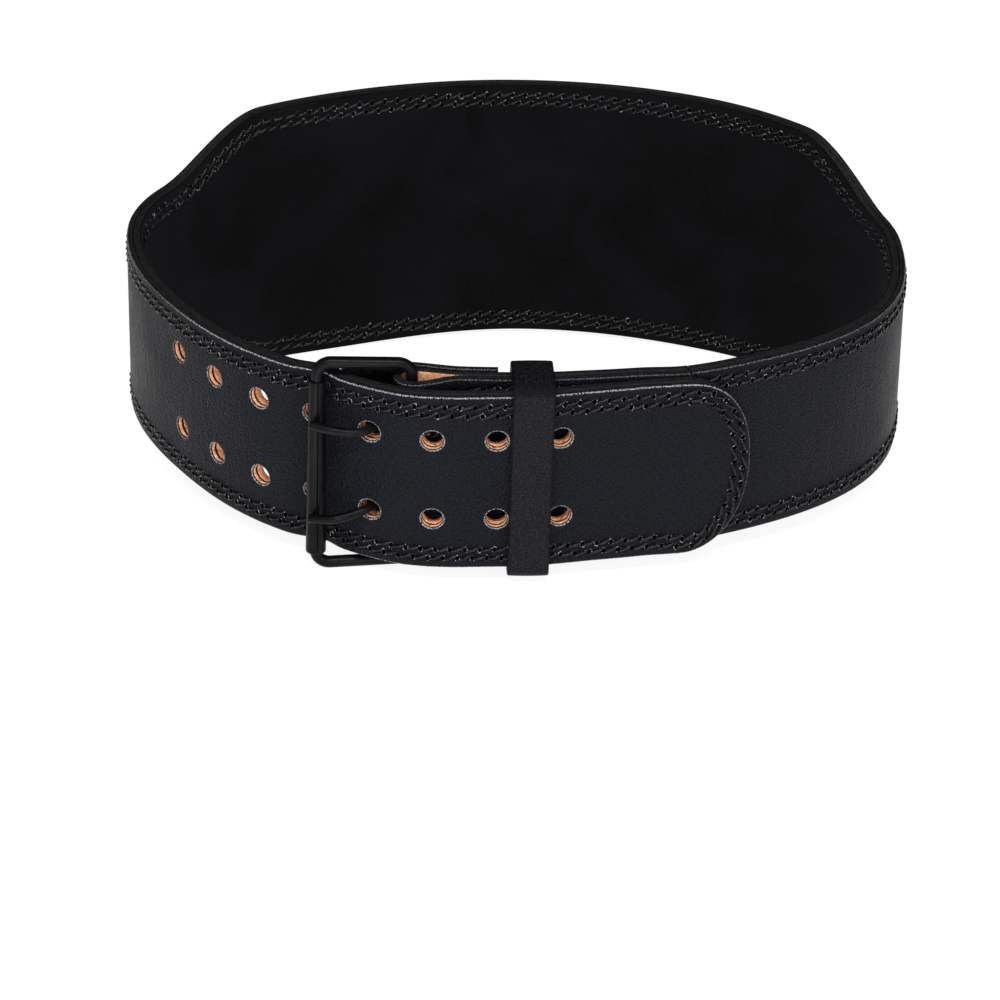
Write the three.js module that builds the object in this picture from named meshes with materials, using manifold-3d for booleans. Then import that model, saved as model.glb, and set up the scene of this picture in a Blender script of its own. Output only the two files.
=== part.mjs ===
// Weightlifting belt: two layers of thick leather, wide at the back, closed in front by a roller buckle
// with two prongs. The tongue passes through the buckle, over the buckle end and under a keeper loop.
//
// Frame: millimetres, +X to the wearer's left as seen from the front, +Y to the back, +Z up.
// The belt stands on its lower edges: the back panel's two lower corners and the buckle's lower end.
// Its origin is the middle of the bottom of its own box.
//
// Places along the belt are arc lengths, counterclockwise from the middle of the back as seen from above.
// Heights are measured from the strap's middle line, and stand-offs from the waist loop, outwards.
import * as THREE from "three";
import { mergeVertices } from "three/addons/utils/BufferGeometryUtils.js";
import Module from "manifold-3d";

// Waist loop, at the outer face of the leather
const loopHalfWidth = 207.9;
const loopBackDepth = 125.5;
const loopFrontDepth = 163.5;

// How far the loop swells beyond a plain ellipse, every 30 degrees from its right end, as seen from above
const loopSwell = [0.977, 0.974, 0.996, 1.012, 0.97, 1, 0.997, 0.988, 1.029, 0.985, 0.981, 1.022];

// How far the strap's upper edge leans out of the loop at the same angles; its lower edge leans the other way
const edgeLean = [-1, -2.4, 0, 0, 1.5, -1.5, -0.6, 0.7, 0, 0, 0, 0.7];

// Leather
const outerThickness = 3.2;
const liningThickness = 4.7;
const layerGap = 0.3;
const fitGap = 0.3;

// Strap outline, laid flat
const strapHeight = 100;
const panelHeight = 155.2;
const panelFlatLength = 316;
const panelTaperLength = 68;
const panelShift = -10;
const tongueLength = 218.6;
const tongueTipLength = 37;
const tongueTipRoundness = 2.2;
const tongueDrop = 1;
const tongueLiftStart = 20;

// Holes for the prongs
const holeDiameter = 11.4;
const holePitch = 31.4;
const holeRowSpacing = 45.6;
const holeRowRise = 2;
const holesBeforeProng = 4;
const holesAfterProng = 3;

// Buckle
const wireDiameter = 6.2;
const frameHeight = 120.4;
const frameCornerRadius = 7;
const frameReach = 46.5;
const frameLean = 4.8;
const frameSag = 1;
const rollerTopDiameter = 8.4;
const rollerBottomDiameter = 10.4;
const rollerWall = 0.8;
const rollerLength = 98;
const rollerDrop = 1.9;
const rollerStandOff = 2.1;
const prongDiameter = 4.8;
const prongHoleFromBar = 19.1;
const prongPastRoller = 0;
const prongBendFromRoller = 12;
const prongSlotHeight = 8;
const upperProngRise = 1.7;
const lowerProngFall = 6.4;

// Fold of leather round the buckle's bar, and the buckle end that it is sewn to
const barBeforeFront = 52.5;
const foldInnerRadius = 5.2;
const foldSwell = 3.2;
const pocketLength = 26;
const seamFromBar = 142.5;
const buckleEndDip = 7.9;

// Guard: a strip on the waist side of the buckle end, which reaches in under the buckle
const guardThickness = 2.6;
const guardHeight = 98;
const guardPastBar = 43;
const guardBehindBar = 44;
const guardCornerRadius = 14;
const guardRise = 4.2;

// Keeper loop
const keeperWidth = 21;
const keeperWall = 3;
const keeperFromBar = 60.4;
const keeperTurn = 0.9;
const keeperSlackAbove = 3;
const keeperSlackBelow = 1.9;
const keeperFit = 0.5;
const keeperCornerRadius = 5;

// Finish
const finish = {
  grainLeather: { color: 0x1e2128, roughness: 0.45, metalness: 0 },
  suede: { color: 0x0f0d0e, roughness: 0.95, metalness: 0 },
  paintedWire: { color: 0x232428, roughness: 0.35, metalness: 0.6 },
};

// Facets
const stationStep = 10;
const fineStep = 5;
const holeSides = 14;
const wireSides = 10;
const loopSamples = 1440;

const wasm = await Module();
wasm.setup();

const strapThickness = outerThickness + layerGap + liningThickness;
const legThickness = (strapThickness - layerGap) / 2;
const wireRadius = wireDiameter / 2;
const prongRadius = prongDiameter / 2;

// Smooth value of a closed row of numbers, at a place given in steps along it
function closedRowAt(row, place) {
  const n = row.length;
  const i = Math.floor(place);
  const t = place - i;
  const [a, b, c, d] = [-1, 0, 1, 2].map((k) => row[(((i + k) % n) + n) % n]);
  return b + 0.5 * t * (c - a + t * (2 * a - 5 * b + 4 * c - d + t * (3 * (b - c) + d - a)));
}

// Smooth value through knots [place, value], with no overshoot between them
function throughKnots(knots, place) {
  const last = knots.length - 1;
  if (place <= knots[0][0]) return knots[0][1];
  if (place >= knots[last][0]) return knots[last][1];
  const slope = (i) => (knots[i + 1][1] - knots[i][1]) / (knots[i + 1][0] - knots[i][0]);
  const lean = (i) => {
    if (i === 0 || i === last) return 0;
    const [before, after] = [slope(i - 1), slope(i)];
    return before * after <= 0 ? 0 : (2 * before * after) / (before + after);
  };
  let i = 0;
  while (place > knots[i + 1][0]) i += 1;
  const h = knots[i + 1][0] - knots[i][0];
  const t = (place - knots[i][0]) / h;
  const [p, q] = [knots[i][1], knots[i + 1][1]];
  const [m, n] = [lean(i) * h, lean(i + 1) * h];
  return p + t * (m + t * (3 * (q - p) - 2 * m - n + t * (2 * (p - q) + m + n)));
}

// Waist loop as seen from above: even samples by arc length from the middle of the back
function makeLoop() {
  const points = [];
  const leans = [];
  for (let i = 0; i <= loopSamples; i += 1) {
    const angle = Math.PI / 2 + (2 * Math.PI * i) / loopSamples;
    const swell = closedRowAt(loopSwell, (angle * loopSwell.length) / (2 * Math.PI));
    leans.push(closedRowAt(edgeLean, (angle * edgeLean.length) / (2 * Math.PI)));
    const depth = Math.sin(angle) > 0 ? loopBackDepth : loopFrontDepth;
    const onEllipse = new THREE.Vector2(loopHalfWidth * Math.cos(angle), depth * Math.sin(angle));
    points.push(onEllipse.multiplyScalar(swell));
  }
  const lengths = [0];
  for (let i = 1; i <= loopSamples; i += 1) {
    lengths.push(lengths[i - 1] + points[i].distanceTo(points[i - 1]));
  }
  return { points, leans, lengths, around: lengths[loopSamples] };
}

const loop = makeLoop();

// Point and outward direction of the waist loop at an arc length
function onLoop(arc) {
  const place = ((arc % loop.around) + loop.around) % loop.around;
  let low = 0;
  let high = loopSamples;
  while (high - low > 1) {
    const middle = (low + high) >> 1;
    if (loop.lengths[middle] <= place) low = middle;
    else high = middle;
  }
  const share = (place - loop.lengths[low]) / (loop.lengths[high] - loop.lengths[low]);
  const point = loop.points[low].clone().lerp(loop.points[high], share);
  const before = loop.points[(low - 1 + loopSamples) % loopSamples];
  const after = loop.points[(high + 1) % loopSamples];
  const along = after.clone().sub(before).normalize();
  const lean = THREE.MathUtils.lerp(loop.leans[low], loop.leans[high], share);
  return { point, out: new THREE.Vector2(along.y, -along.x), lean };
}

// Point at an arc length that stands off the waist loop
function standingOff(arc, standOff) {
  const { point, out } = onLoop(arc);
  return point.addScaledVector(out, standOff);
}

// Places of the pieces in front, as arc lengths from the middle of the back
const frontMiddle = loop.lengths[loopSamples / 2];
const barAt = frontMiddle - barBeforeFront;
const rollerAt = barAt - frameReach;
const keeperAt = barAt + keeperFromBar;
const seamAt = barAt + seamFromBar;
const tipAt = rollerAt + tongueLength;
const prongHoleAt = barAt - prongHoleFromBar;

// Stand-off of the bar: the fold's pocket lies out from the middle of the buckle end
const foldOuterRadius = foldInnerRadius + legThickness;
const barStandOff = -buckleEndDip - strapThickness / 2 + foldSwell;

// Outer face of the buckle end, from the fold to where it is the plain waist loop
const buckleEndKnots = [
  [barAt, -buckleEndDip],
  [keeperAt + keeperWidth, -0.93 * buckleEndDip],
  [seamAt - 0.18 * seamFromBar, -0.67 * buckleEndDip],
  [seamAt, -0.1 * buckleEndDip],
  [seamAt + keeperWidth, 0],
];
const buckleEndOuter = (arc) => throughKnots(buckleEndKnots, arc);

// Outer face of the tongue: in under the roller, out over the fold, under the keeper, and down on the strap
const overFold = barStandOff + foldOuterRadius + fitGap + strapThickness;
const onStrap = fitGap + 0.1 + strapThickness;
const tongueKnots = [
  [rollerAt - tongueLiftStart, 0],
  [rollerAt, rollerStandOff - rollerTopDiameter / 2 - fitGap - 0.05],
  [rollerAt + 0.26 * frameReach, 0.22 * overFold],
  [prongHoleAt, 0.62 * overFold],
  [barAt - 0.15 * frameReach, 0.9 * overFold],
  [barAt, 1.01 * overFold],
  [barAt + 0.25 * frameReach, 1.05 * overFold],
  [keeperAt - keeperWidth, 0.9 * overFold],
  [keeperAt, 0.81 * overFold],
  [keeperAt + keeperWidth, 0.61 * overFold],
  [keeperAt + 1.6 * keeperWidth, 0.53 * overFold],
  [seamAt - 0.18 * seamFromBar, 0.58 * overFold],
  [seamAt - 0.08 * seamFromBar, 0.78 * overFold],
  [seamAt, 0.98 * onStrap],
  [tipAt - tongueTipLength / 2, onStrap],
];

// Outer face of the whole strap, from the seam once round the waist to the tip of the tongue
const strapStart = seamAt;
const strapEnd = loop.around + tipAt;
function strapOuter(arc) {
  if (arc < seamAt + 2 * keeperWidth) return buckleEndOuter(arc);
  return throughKnots(tongueKnots, arc - loop.around);
}

// Point and outward direction on the strap's outer face, in plan
function onStrapFace(arc) {
  const small = 0.5;
  const from = Math.max(arc - small, strapStart);
  const to = Math.min(arc + small, strapEnd);
  const along = standingOff(to, strapOuter(to)).sub(standingOff(from, strapOuter(from))).normalize();
  return { point: standingOff(arc, strapOuter(arc)), out: new THREE.Vector2(along.y, -along.x) };
}

// Half the strap's height at an arc length: the back panel, its tapers and the rounded tongue tip
function halfHeight(arc) {
  const half = loop.around / 2;
  const fromBack = Math.abs(((arc + half) % loop.around) - half - panelShift);
  const share = THREE.MathUtils.clamp((fromBack - panelFlatLength / 2) / panelTaperLength, 0, 1);
  const taper = THREE.MathUtils.smoothstep(share, 0, 1);
  const height = THREE.MathUtils.lerp(panelHeight, strapHeight, taper);
  const intoTip = (arc - (strapEnd - tongueTipLength)) / tongueTipLength;
  if (intoTip <= 0) return height / 2;
  return (height / 2) * (1 - intoTip ** tongueTipRoundness) ** (1 / tongueTipRoundness);
}

// How much lower the tongue lies than the rest of the strap
function dropAt(arc) {
  const dropFrom = loop.around + rollerAt - frameReach;
  return tongueDrop * THREE.MathUtils.smoothstep(arc, dropFrom, loop.around + barAt);
}

// Arc lengths of the strap's cross-sections: finer at the buckle, over the tapers and round the tip
function strapStations() {
  const tipFaces = 9;
  const stations = [];
  const tipStart = strapEnd - tongueTipLength;
  const fineFrom = loop.around + rollerAt - 1.25 * tongueLiftStart;
  const fineTo = loop.around + keeperAt;
  for (let arc = strapStart + fitGap / 2; arc < tipStart - fineStep; ) {
    stations.push(arc);
    arc += arc > fineFrom && arc < fineTo ? fineStep : stationStep;
  }
  for (let i = 0; i < tipFaces; i += 1) {
    stations.push(tipStart + tongueTipLength * Math.sin((0.93 * Math.PI * i) / (2 * (tipFaces - 1))));
  }
  return stations;
}

// Three.js geometry to manifold solid and back
function toSolid(geometry) {
  const bare = geometry.clone();
  bare.deleteAttribute("normal");
  bare.deleteAttribute("uv");
  const welded = mergeVertices(bare, 1e-4);
  return new wasm.Manifold(
    new wasm.Mesh({
      numProp: 3,
      vertProperties: new Float32Array(welded.attributes.position.array),
      triVerts: new Uint32Array(welded.index.array),
    }),
  );
}

function toGeometry(solid) {
  const mesh = solid.getMesh();
  const geometry = new THREE.BufferGeometry();
  geometry.setAttribute("position", new THREE.BufferAttribute(new Float32Array(mesh.vertProperties), 3));
  geometry.setIndex(new THREE.BufferAttribute(new Uint32Array(mesh.triVerts), 1));
  geometry.computeVertexNormals();
  return geometry;
}

// A box with one cross-section at each station, each moved to its place. Two rows of faces over its height
// let it follow a face that twists.
function bentBox(count, place) {
  const geometry = new THREE.BoxGeometry(1, 1, 2, count - 1, 1, 2);
  const position = geometry.attributes.position;
  for (let i = 0; i < position.count; i += 1) {
    const station = Math.round((position.getX(i) + 0.5) * (count - 1));
    const moved = place(station, position.getY(i) + 0.5, position.getZ(i));
    position.setXYZ(i, moved.x, moved.y, moved.z);
  }
  return geometry;
}

// One layer of the strap, between two depths below its outer face
function strapLayer(depthOut, depthIn) {
  const stations = strapStations();
  return bentBox(stations.length, (station, inward, side) => {
    const arc = stations[station];
    const { point, out } = onStrapFace(arc);
    const height = side * halfHeight(arc);
    const leanOut = (onLoop(arc).lean * height) / (strapHeight / 2);
    point.addScaledVector(out, leanOut - THREE.MathUtils.lerp(depthIn, depthOut, 1 - inward));
    return new THREE.Vector3(point.x, point.y, height - dropAt(arc));
  });
}

// A round cutter through the strap, square to its face
function holeCutter(arc, height) {
  const { point, out } = onStrapFace(arc);
  const radius = holeDiameter / 2;
  const cutter = new THREE.CylinderGeometry(radius, radius, 2 * strapThickness, holeSides);
  cutter.applyQuaternion(
    new THREE.Quaternion().setFromUnitVectors(new THREE.Vector3(0, 1, 0), new THREE.Vector3(out.x, out.y, 0)),
  );
  point.addScaledVector(out, -strapThickness / 2);
  return cutter.translate(point.x, point.y, height - dropAt(arc));
}

const rowHeights = [holeRowRise + holeRowSpacing / 2, holeRowRise - holeRowSpacing / 2];

// Heights of each prong at the hole it passes, at its eye on the bar and at its tip, which spreads outwards
const prongHeights = [upperProngRise, -lowerProngFall].map((spread, row) => {
  const hole = rowHeights[row] - dropAt(loop.around + prongHoleAt);
  return { hole, eye: hole - 0.35 * spread, tip: hole + spread };
});

function withHoles(geometry) {
  let solid = toSolid(geometry);
  for (let k = -holesBeforeProng; k <= holesAfterProng; k += 1) {
    for (const height of rowHeights) {
      const cutter = holeCutter(loop.around + prongHoleAt + k * holePitch, height);
      solid = solid.subtract(toSolid(cutter));
    }
  }
  return toGeometry(solid);
}

const outerLeather = () => withHoles(strapLayer(0, outerThickness));
const innerLining = () => withHoles(strapLayer(outerThickness + layerGap, strapThickness));

// Bar in plan, with the directions out of the belt and along it
function barPlace() {
  const { point, out } = onLoop(barAt);
  return { point: point.addScaledVector(out, barStandOff), out, along: new THREE.Vector2(-out.y, out.x) };
}

// Stand-off of the middle of one of the fold's legs, at a reach from the bar: flat, but swollen at the bar
function legStandOff(reach, side) {
  const midRadius = foldInnerRadius + legThickness / 2;
  const outer = buckleEndOuter(barAt + reach) - legThickness / 2;
  const flat = side > 0 ? outer : outer - legThickness - layerGap;
  const settle = THREE.MathUtils.smoothstep(reach, 0, pocketLength);
  return THREE.MathUtils.lerp(barStandOff + side * midRadius, flat, settle);
}

// Middle line of the fold in plan: out along the outer leg, round the bar and back along the inner leg
function foldLine() {
  const midRadius = foldInnerRadius + legThickness / 2;
  const legStations = 16;
  const turnStations = 10;
  const legEnd = seamFromBar - fitGap / 2;
  const leg = (side) => {
    const points = [];
    for (let i = 1; i <= legStations; i += 1) {
      const reach = i < legStations ? (legEnd - 1) * (i / (legStations - 1)) ** 1.6 : legEnd;
      points.push(standingOff(barAt + reach, legStandOff(reach, side)));
    }
    return points;
  };
  const { point: bar, out, along } = barPlace();
  const turn = [];
  for (let i = 0; i <= turnStations; i += 1) {
    const angle = (Math.PI * i) / turnStations;
    const across = bar.clone().addScaledVector(out, midRadius * Math.cos(angle));
    turn.push(across.addScaledVector(along, -midRadius * Math.sin(angle)));
  }
  return [...leg(1).reverse(), ...turn, ...leg(-1)];
}

function buckleFold() {
  const line = foldLine();
  const strip = bentBox(line.length, (station, side, height) => {
    const before = line[Math.max(station - 1, 0)];
    const after = line[Math.min(station + 1, line.length - 1)];
    const along = after.clone().sub(before).normalize();
    const across = new THREE.Vector2(-along.y, along.x).multiplyScalar((side - 0.5) * legThickness);
    const point = line[station].clone().add(across);
    return new THREE.Vector3(point.x, point.y, (height * strapHeight) / 2);
  });
  let solid = toSolid(strip);
  const { point, out } = barPlace();
  const slotLength = 2 * (foldOuterRadius + prongDiameter);
  for (const { eye } of prongHeights) {
    const slot = new THREE.BoxGeometry(slotLength, 4 * foldOuterRadius, prongSlotHeight);
    slot.rotateZ(Math.atan2(out.y, out.x) - Math.PI / 2);
    slot.translate(point.x, point.y, eye);
    solid = solid.subtract(toSolid(slot));
  }
  return toGeometry(solid);
}

// Guard: from its rounded end under the roller, past the bar, to where it is sewn to the fold's inner leg
function guard() {
  const stations = [0, 0.06, 0.2, 0.45].map((share) => share * guardCornerRadius);
  for (let reach = guardCornerRadius; reach < guardPastBar + guardBehindBar; reach += fineStep) {
    stations.push(reach);
  }
  return bentBox(stations.length, (station, inward, side) => {
    const reach = stations[station] - guardPastBar;
    const rise = guardRise * THREE.MathUtils.smoothstep(-reach, 0, guardPastBar);
    const onLeg = legStandOff(Math.max(reach, 0), -1) - legThickness / 2 - fitGap;
    const place = standingOff(barAt + reach, onLeg + rise - inward * guardThickness);
    const intoCorner = Math.max(guardCornerRadius - stations[station], 0);
    const cut = guardCornerRadius - Math.sqrt(guardCornerRadius ** 2 - intoCorner ** 2);
    return new THREE.Vector3(place.x, place.y, side * (guardHeight / 2 - cut));
  });
}

// Corners of the buckle's wire. Its roller side leans out of the belt towards the bottom, and sags a little.
function frameCorners() {
  const half = (frameHeight - wireDiameter) / 2;
  const bar = barPlace().point;
  const atTop = standingOff(rollerAt, rollerStandOff);
  const atBottom = standingOff(rollerAt, rollerStandOff + frameLean);
  return {
    barTop: new THREE.Vector3(bar.x, bar.y, half),
    rollerTop: new THREE.Vector3(atTop.x, atTop.y, half),
    rollerBottom: new THREE.Vector3(atBottom.x, atBottom.y, -half - frameSag),
    barBottom: new THREE.Vector3(bar.x, bar.y, -half),
  };
}

// Point of the wire inside the roller, its stand-off and the roller's radius, at a height
function rollerSide(height) {
  const { rollerTop, rollerBottom } = frameCorners();
  const down = (rollerTop.z - height) / (rollerTop.z - rollerBottom.z);
  const downRoller = (rollerLength / 2 - rollerDrop - height) / rollerLength;
  return {
    point: rollerTop.clone().lerp(rollerBottom, down),
    standOff: rollerStandOff + frameLean * down,
    radius: THREE.MathUtils.lerp(rollerTopDiameter, rollerBottomDiameter, downRoller) / 2,
  };
}

// Closed wire with a rounded bend at each corner
function buckleFrame() {
  const corners = Object.values(frameCorners());
  const cornerFaces = 5;
  const outline = [];
  corners.forEach((corner, k) => {
    const before = corners[(k + corners.length - 1) % corners.length];
    const after = corners[(k + 1) % corners.length];
    const into = corner.clone().sub(before).normalize();
    const outOf = after.clone().sub(corner).normalize();
    const bend = into.angleTo(outOf);
    const inwards = outOf.clone().addScaledVector(into, -into.dot(outOf)).normalize();
    const centre = corner.clone().addScaledVector(into, -frameCornerRadius * Math.tan(bend / 2));
    centre.addScaledVector(inwards, frameCornerRadius);
    for (let i = 0; i <= cornerFaces; i += 1) {
      const angle = (bend * i) / cornerFaces;
      const [sine, cosine] = [Math.sin(angle), Math.cos(angle)];
      const outwards = into.clone().multiplyScalar(sine).addScaledVector(inwards, -cosine);
      const ahead = into.clone().multiplyScalar(cosine).addScaledVector(inwards, sine);
      const point = centre.clone().addScaledVector(outwards, frameCornerRadius);
      outline.push({ point, outwards, side: outwards.clone().cross(ahead) });
    }
  });
  const ring = new THREE.TorusGeometry(1, 0.5, wireSides, outline.length);
  const position = ring.attributes.position;
  for (let i = 0; i < position.count; i += 1) {
    const [x, y, z] = [position.getX(i), position.getY(i), position.getZ(i)];
    const step = Math.round((Math.atan2(y, x) / (2 * Math.PI)) * outline.length);
    const { point, outwards, side } = outline[(step + outline.length) % outline.length];
    const moved = point.clone().addScaledVector(outwards, (Math.hypot(x, y) - 1) * wireDiameter);
    moved.addScaledVector(side, z * wireDiameter);
    position.setXYZ(i, moved.x, moved.y, moved.z);
  }
  return ring;
}

// Roller: a thin tube, a little wider at its lower end, loose on the wire
function roller() {
  const half = rollerLength / 2;
  const top = rollerSide(half - rollerDrop);
  const bottom = rollerSide(-half - rollerDrop);
  const profile = [
    [bottom.radius - rollerWall, -half],
    [bottom.radius, -half],
    [top.radius, half],
    [top.radius - rollerWall, half],
    [bottom.radius - rollerWall, -half],
  ].map(([r, h]) => new THREE.Vector2(r, h));
  const tube = new THREE.LatheGeometry(profile, 2 * wireSides);
  const upwards = top.point.clone().sub(bottom.point).normalize();
  tube.applyQuaternion(new THREE.Quaternion().setFromUnitVectors(new THREE.Vector3(0, 1, 0), upwards));
  const middle = top.point.clone().add(bottom.point).multiplyScalar(0.5);
  return tube.translate(middle.x, middle.y, middle.z);
}

// Prong: an eye round the bar and a shank that rises through a hole in the tongue and lies over the roller
function prong({ hole, eye, tip }) {
  const eyeRadius = wireRadius + fitGap + 0.1 + prongRadius;
  const roll = rollerSide(tip);
  const overRoller = roll.standOff + roll.radius + fitGap + 0.05 + prongRadius;
  const { point, out, along } = barPlace();
  const ring = new THREE.TorusGeometry(eyeRadius, prongRadius, wireSides, 20);
  ring.translate(point.x, point.y, eye);
  const start = point.clone().addScaledVector(along, -0.76 * eyeRadius);
  start.addScaledVector(out, 0.64 * eyeRadius);
  const tongueAtHole = throughKnots(tongueKnots, prongHoleAt);
  const at = (arc, standOff, height) => {
    const place = standingOff(arc, standOff);
    return new THREE.Vector3(place.x, place.y, height);
  };
  const route = [
    new THREE.Vector3(start.x, start.y, eye),
    at(prongHoleAt + 8.2, tongueAtHole - 1.24 * strapThickness, THREE.MathUtils.lerp(eye, hole, 0.5)),
    at(prongHoleAt + 3.9, tongueAtHole - 1.07 * strapThickness, THREE.MathUtils.lerp(eye, hole, 0.8)),
    at(prongHoleAt + 0.9, tongueAtHole - 0.6 * strapThickness, hole),
    at(prongHoleAt - 2.1, tongueAtHole, THREE.MathUtils.lerp(hole, tip, 0.06)),
    at(prongHoleAt - 6.1, tongueAtHole + 0.42 * strapThickness, THREE.MathUtils.lerp(hole, tip, 0.2)),
    at(rollerAt + prongBendFromRoller, overRoller + 0.3, THREE.MathUtils.lerp(hole, tip, 0.56)),
    at(rollerAt, overRoller, THREE.MathUtils.lerp(hole, tip, 0.97)),
    at(rollerAt - prongPastRoller, overRoller - 0.1, tip),
  ];
  const section = new THREE.Shape();
  section.absarc(0, 0, prongRadius, 0, 2 * Math.PI);
  const shank = new THREE.ExtrudeGeometry(section, {
    steps: 28,
    curveSegments: wireSides,
    extrudePath: new THREE.CatmullRomCurve3(route),
  });
  return toGeometry(toSolid(ring).add(toSolid(shank)));
}

// Keeper: a flat ring of leather round the buckle end and the tongue
function keeperLoop() {
  const { point, out } = onLoop(keeperAt);
  const along = new THREE.Vector2(-out.y, out.x);
  const reaches = [-0.5, 0, 0.5].map((share) => keeperAt + share * keeperWidth);
  const standOffOf = (p) => p.clone().sub(point).dot(out);
  const outerOf = (arc) => standOffOf(standingOff(arc, throughKnots(tongueKnots, arc)));
  const innerOf = (arc) => standOffOf(standingOff(arc, buckleEndOuter(arc) - strapThickness));
  const front = Math.max(...reaches.map(outerOf)) + keeperFit;
  const back = Math.min(...reaches.map(innerOf)) - keeperFit;
  const bottom = -strapHeight / 2 - tongueDrop - keeperSlackBelow;
  const top = strapHeight / 2 + keeperSlackAbove;
  const ring = (path, wall, radius) => {
    const [x0, x1, y0, y1] = [back - wall, front + wall, bottom - wall, top + wall];
    path.moveTo(x0 + radius, y0);
    path.lineTo(x1 - radius, y0);
    path.absarc(x1 - radius, y0 + radius, radius, -Math.PI / 2, 0, false);
    path.lineTo(x1, y1 - radius);
    path.absarc(x1 - radius, y1 - radius, radius, 0, Math.PI / 2, false);
    path.lineTo(x0 + radius, y1);
    path.absarc(x0 + radius, y1 - radius, radius, Math.PI / 2, Math.PI, false);
    path.lineTo(x0, y0 + radius);
    path.absarc(x0 + radius, y0 + radius, radius, Math.PI, 1.5 * Math.PI, false);
    return path;
  };
  const section = ring(new THREE.Shape(), keeperWall, keeperCornerRadius);
  section.holes.push(ring(new THREE.Path(), 0, fitGap));
  const band = new THREE.ExtrudeGeometry(section, {
    depth: keeperWidth,
    bevelEnabled: false,
    curveSegments: 4,
  });
  band.translate(0, 0, -keeperWidth / 2);
  band.rotateX(-THREE.MathUtils.degToRad(keeperTurn));
  const turn = new THREE.Matrix4().makeBasis(
    new THREE.Vector3(out.x, out.y, 0),
    new THREE.Vector3(0, 0, 1),
    new THREE.Vector3(-along.x, -along.y, 0),
  );
  return band.applyMatrix4(turn.setPosition(point.x, point.y, 0));
}

function addPiece(group, name, geometry, look) {
  const mesh = new THREE.Mesh(geometry, new THREE.MeshStandardMaterial(look));
  mesh.name = name;
  group.add(mesh);
}

// Lowest height of a group's points on one side of the loop, at a tilt about X
function lowest(group, tilt, side) {
  let low = Infinity;
  for (const mesh of group.children) {
    const { array } = mesh.geometry.attributes.position;
    for (let i = 0; i < array.length; i += 3) {
      if (side * array[i + 1] < 0) continue;
      low = Math.min(low, array[i + 1] * Math.sin(tilt) + array[i + 2] * Math.cos(tilt));
    }
  }
  return low;
}

// The belt leans forward until its front meets the surface that its back panel stands on
function restingTilt(group) {
  let [level, steep] = [0, 0.3];
  for (let i = 0; i < 40; i += 1) {
    const tilt = (level + steep) / 2;
    if (lowest(group, tilt, -1) > lowest(group, tilt, 1)) level = tilt;
    else steep = tilt;
  }
  return level;
}

const belt = new THREE.Group();
addPiece(belt, "outer_leather", outerLeather(), finish.grainLeather);
addPiece(belt, "inner_lining", innerLining(), finish.suede);
addPiece(belt, "buckle_fold", buckleFold(), finish.grainLeather);
addPiece(belt, "buckle_guard", guard(), finish.grainLeather);
addPiece(belt, "buckle_frame", buckleFrame(), finish.paintedWire);
addPiece(belt, "roller", roller(), finish.paintedWire);
addPiece(belt, "prong_upper", prong(prongHeights[0]), finish.paintedWire);
addPiece(belt, "prong_lower", prong(prongHeights[1]), finish.paintedWire);
addPiece(belt, "keeper_loop", keeperLoop(), finish.grainLeather);

belt.rotation.x = restingTilt(belt);
const standing = new THREE.Group();
standing.add(belt);
standing.updateMatrixWorld(true);
const box = new THREE.Box3().setFromObject(standing, true);
belt.position.set(-(box.min.x + box.max.x) / 2, -(box.min.y + box.max.y) / 2, -box.min.z);

export default standing;
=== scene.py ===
# %% [markdown]
# # A weightlifting belt, dressed for its picture
# The CAD model gives each solid its place. It comes in first and nothing in it moves.

# %% Load the model
import math

import bpy
import numpy as np
from mathutils import Matrix, Vector
from mathutils.geometry import delaunay_2d_cdt


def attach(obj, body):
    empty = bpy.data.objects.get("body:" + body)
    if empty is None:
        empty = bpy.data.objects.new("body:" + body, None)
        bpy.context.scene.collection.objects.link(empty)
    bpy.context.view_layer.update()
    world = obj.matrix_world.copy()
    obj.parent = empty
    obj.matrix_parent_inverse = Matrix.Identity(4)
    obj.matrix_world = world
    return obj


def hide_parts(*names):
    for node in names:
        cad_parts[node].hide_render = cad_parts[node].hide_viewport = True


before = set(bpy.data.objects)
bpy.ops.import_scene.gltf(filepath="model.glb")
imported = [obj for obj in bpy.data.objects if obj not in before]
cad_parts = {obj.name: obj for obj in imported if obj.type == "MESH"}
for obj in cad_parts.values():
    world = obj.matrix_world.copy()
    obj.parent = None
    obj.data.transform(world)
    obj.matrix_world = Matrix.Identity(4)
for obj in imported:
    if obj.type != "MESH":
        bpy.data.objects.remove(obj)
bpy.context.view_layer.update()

print("CAD nodes:", sorted(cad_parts))

# %% [markdown]
# ## Sizes
# A maker works in millimetres, so every size below is in millimetres, and only the finished meshes
# are turned into metres. The names are the ones that the model's own source uses.

# %% Sizes in millimetres
loop_half_width, loop_back_depth, loop_front_depth = 207.9, 125.5, 163.5
loop_swell = [0.977, 0.974, 0.996, 1.012, 0.97, 1, 0.997, 0.988, 1.029, 0.985, 0.981, 1.022]
edge_lean = [-1, -2.4, 0, 0, 1.5, -1.5, -0.6, 0.7, 0, 0, 0, 0.7]
outer_thickness, lining_thickness, layer_gap, fit_gap = 3.2, 4.7, 0.3, 0.3
strap_height, panel_height, panel_flat, panel_taper, panel_shift = 100, 155.2, 316, 68, -10
tongue_length, tip_length, tip_roundness, tongue_drop = 218.6, 37, 2.2, 1
hole_radius, hole_pitch, hole_row_spacing, hole_row_rise = 5.3, 31.4, 45.6, 2
holes_before_prong, holes_after_prong = 4, 3
wire_diameter, frame_height, corner_radius = 6.2, 120.4, 7
frame_reach, frame_lean, frame_sag = 46.5, 4.8, 1
roller_top, roller_bottom, roller_wall, roller_length = 8.4, 10.4, 0.8, 98
roller_drop, roller_stand_off = 1.9, 2.1
prong_diameter, prong_hole_from_bar, prong_slot = 4.8, 19.1, 8
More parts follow.
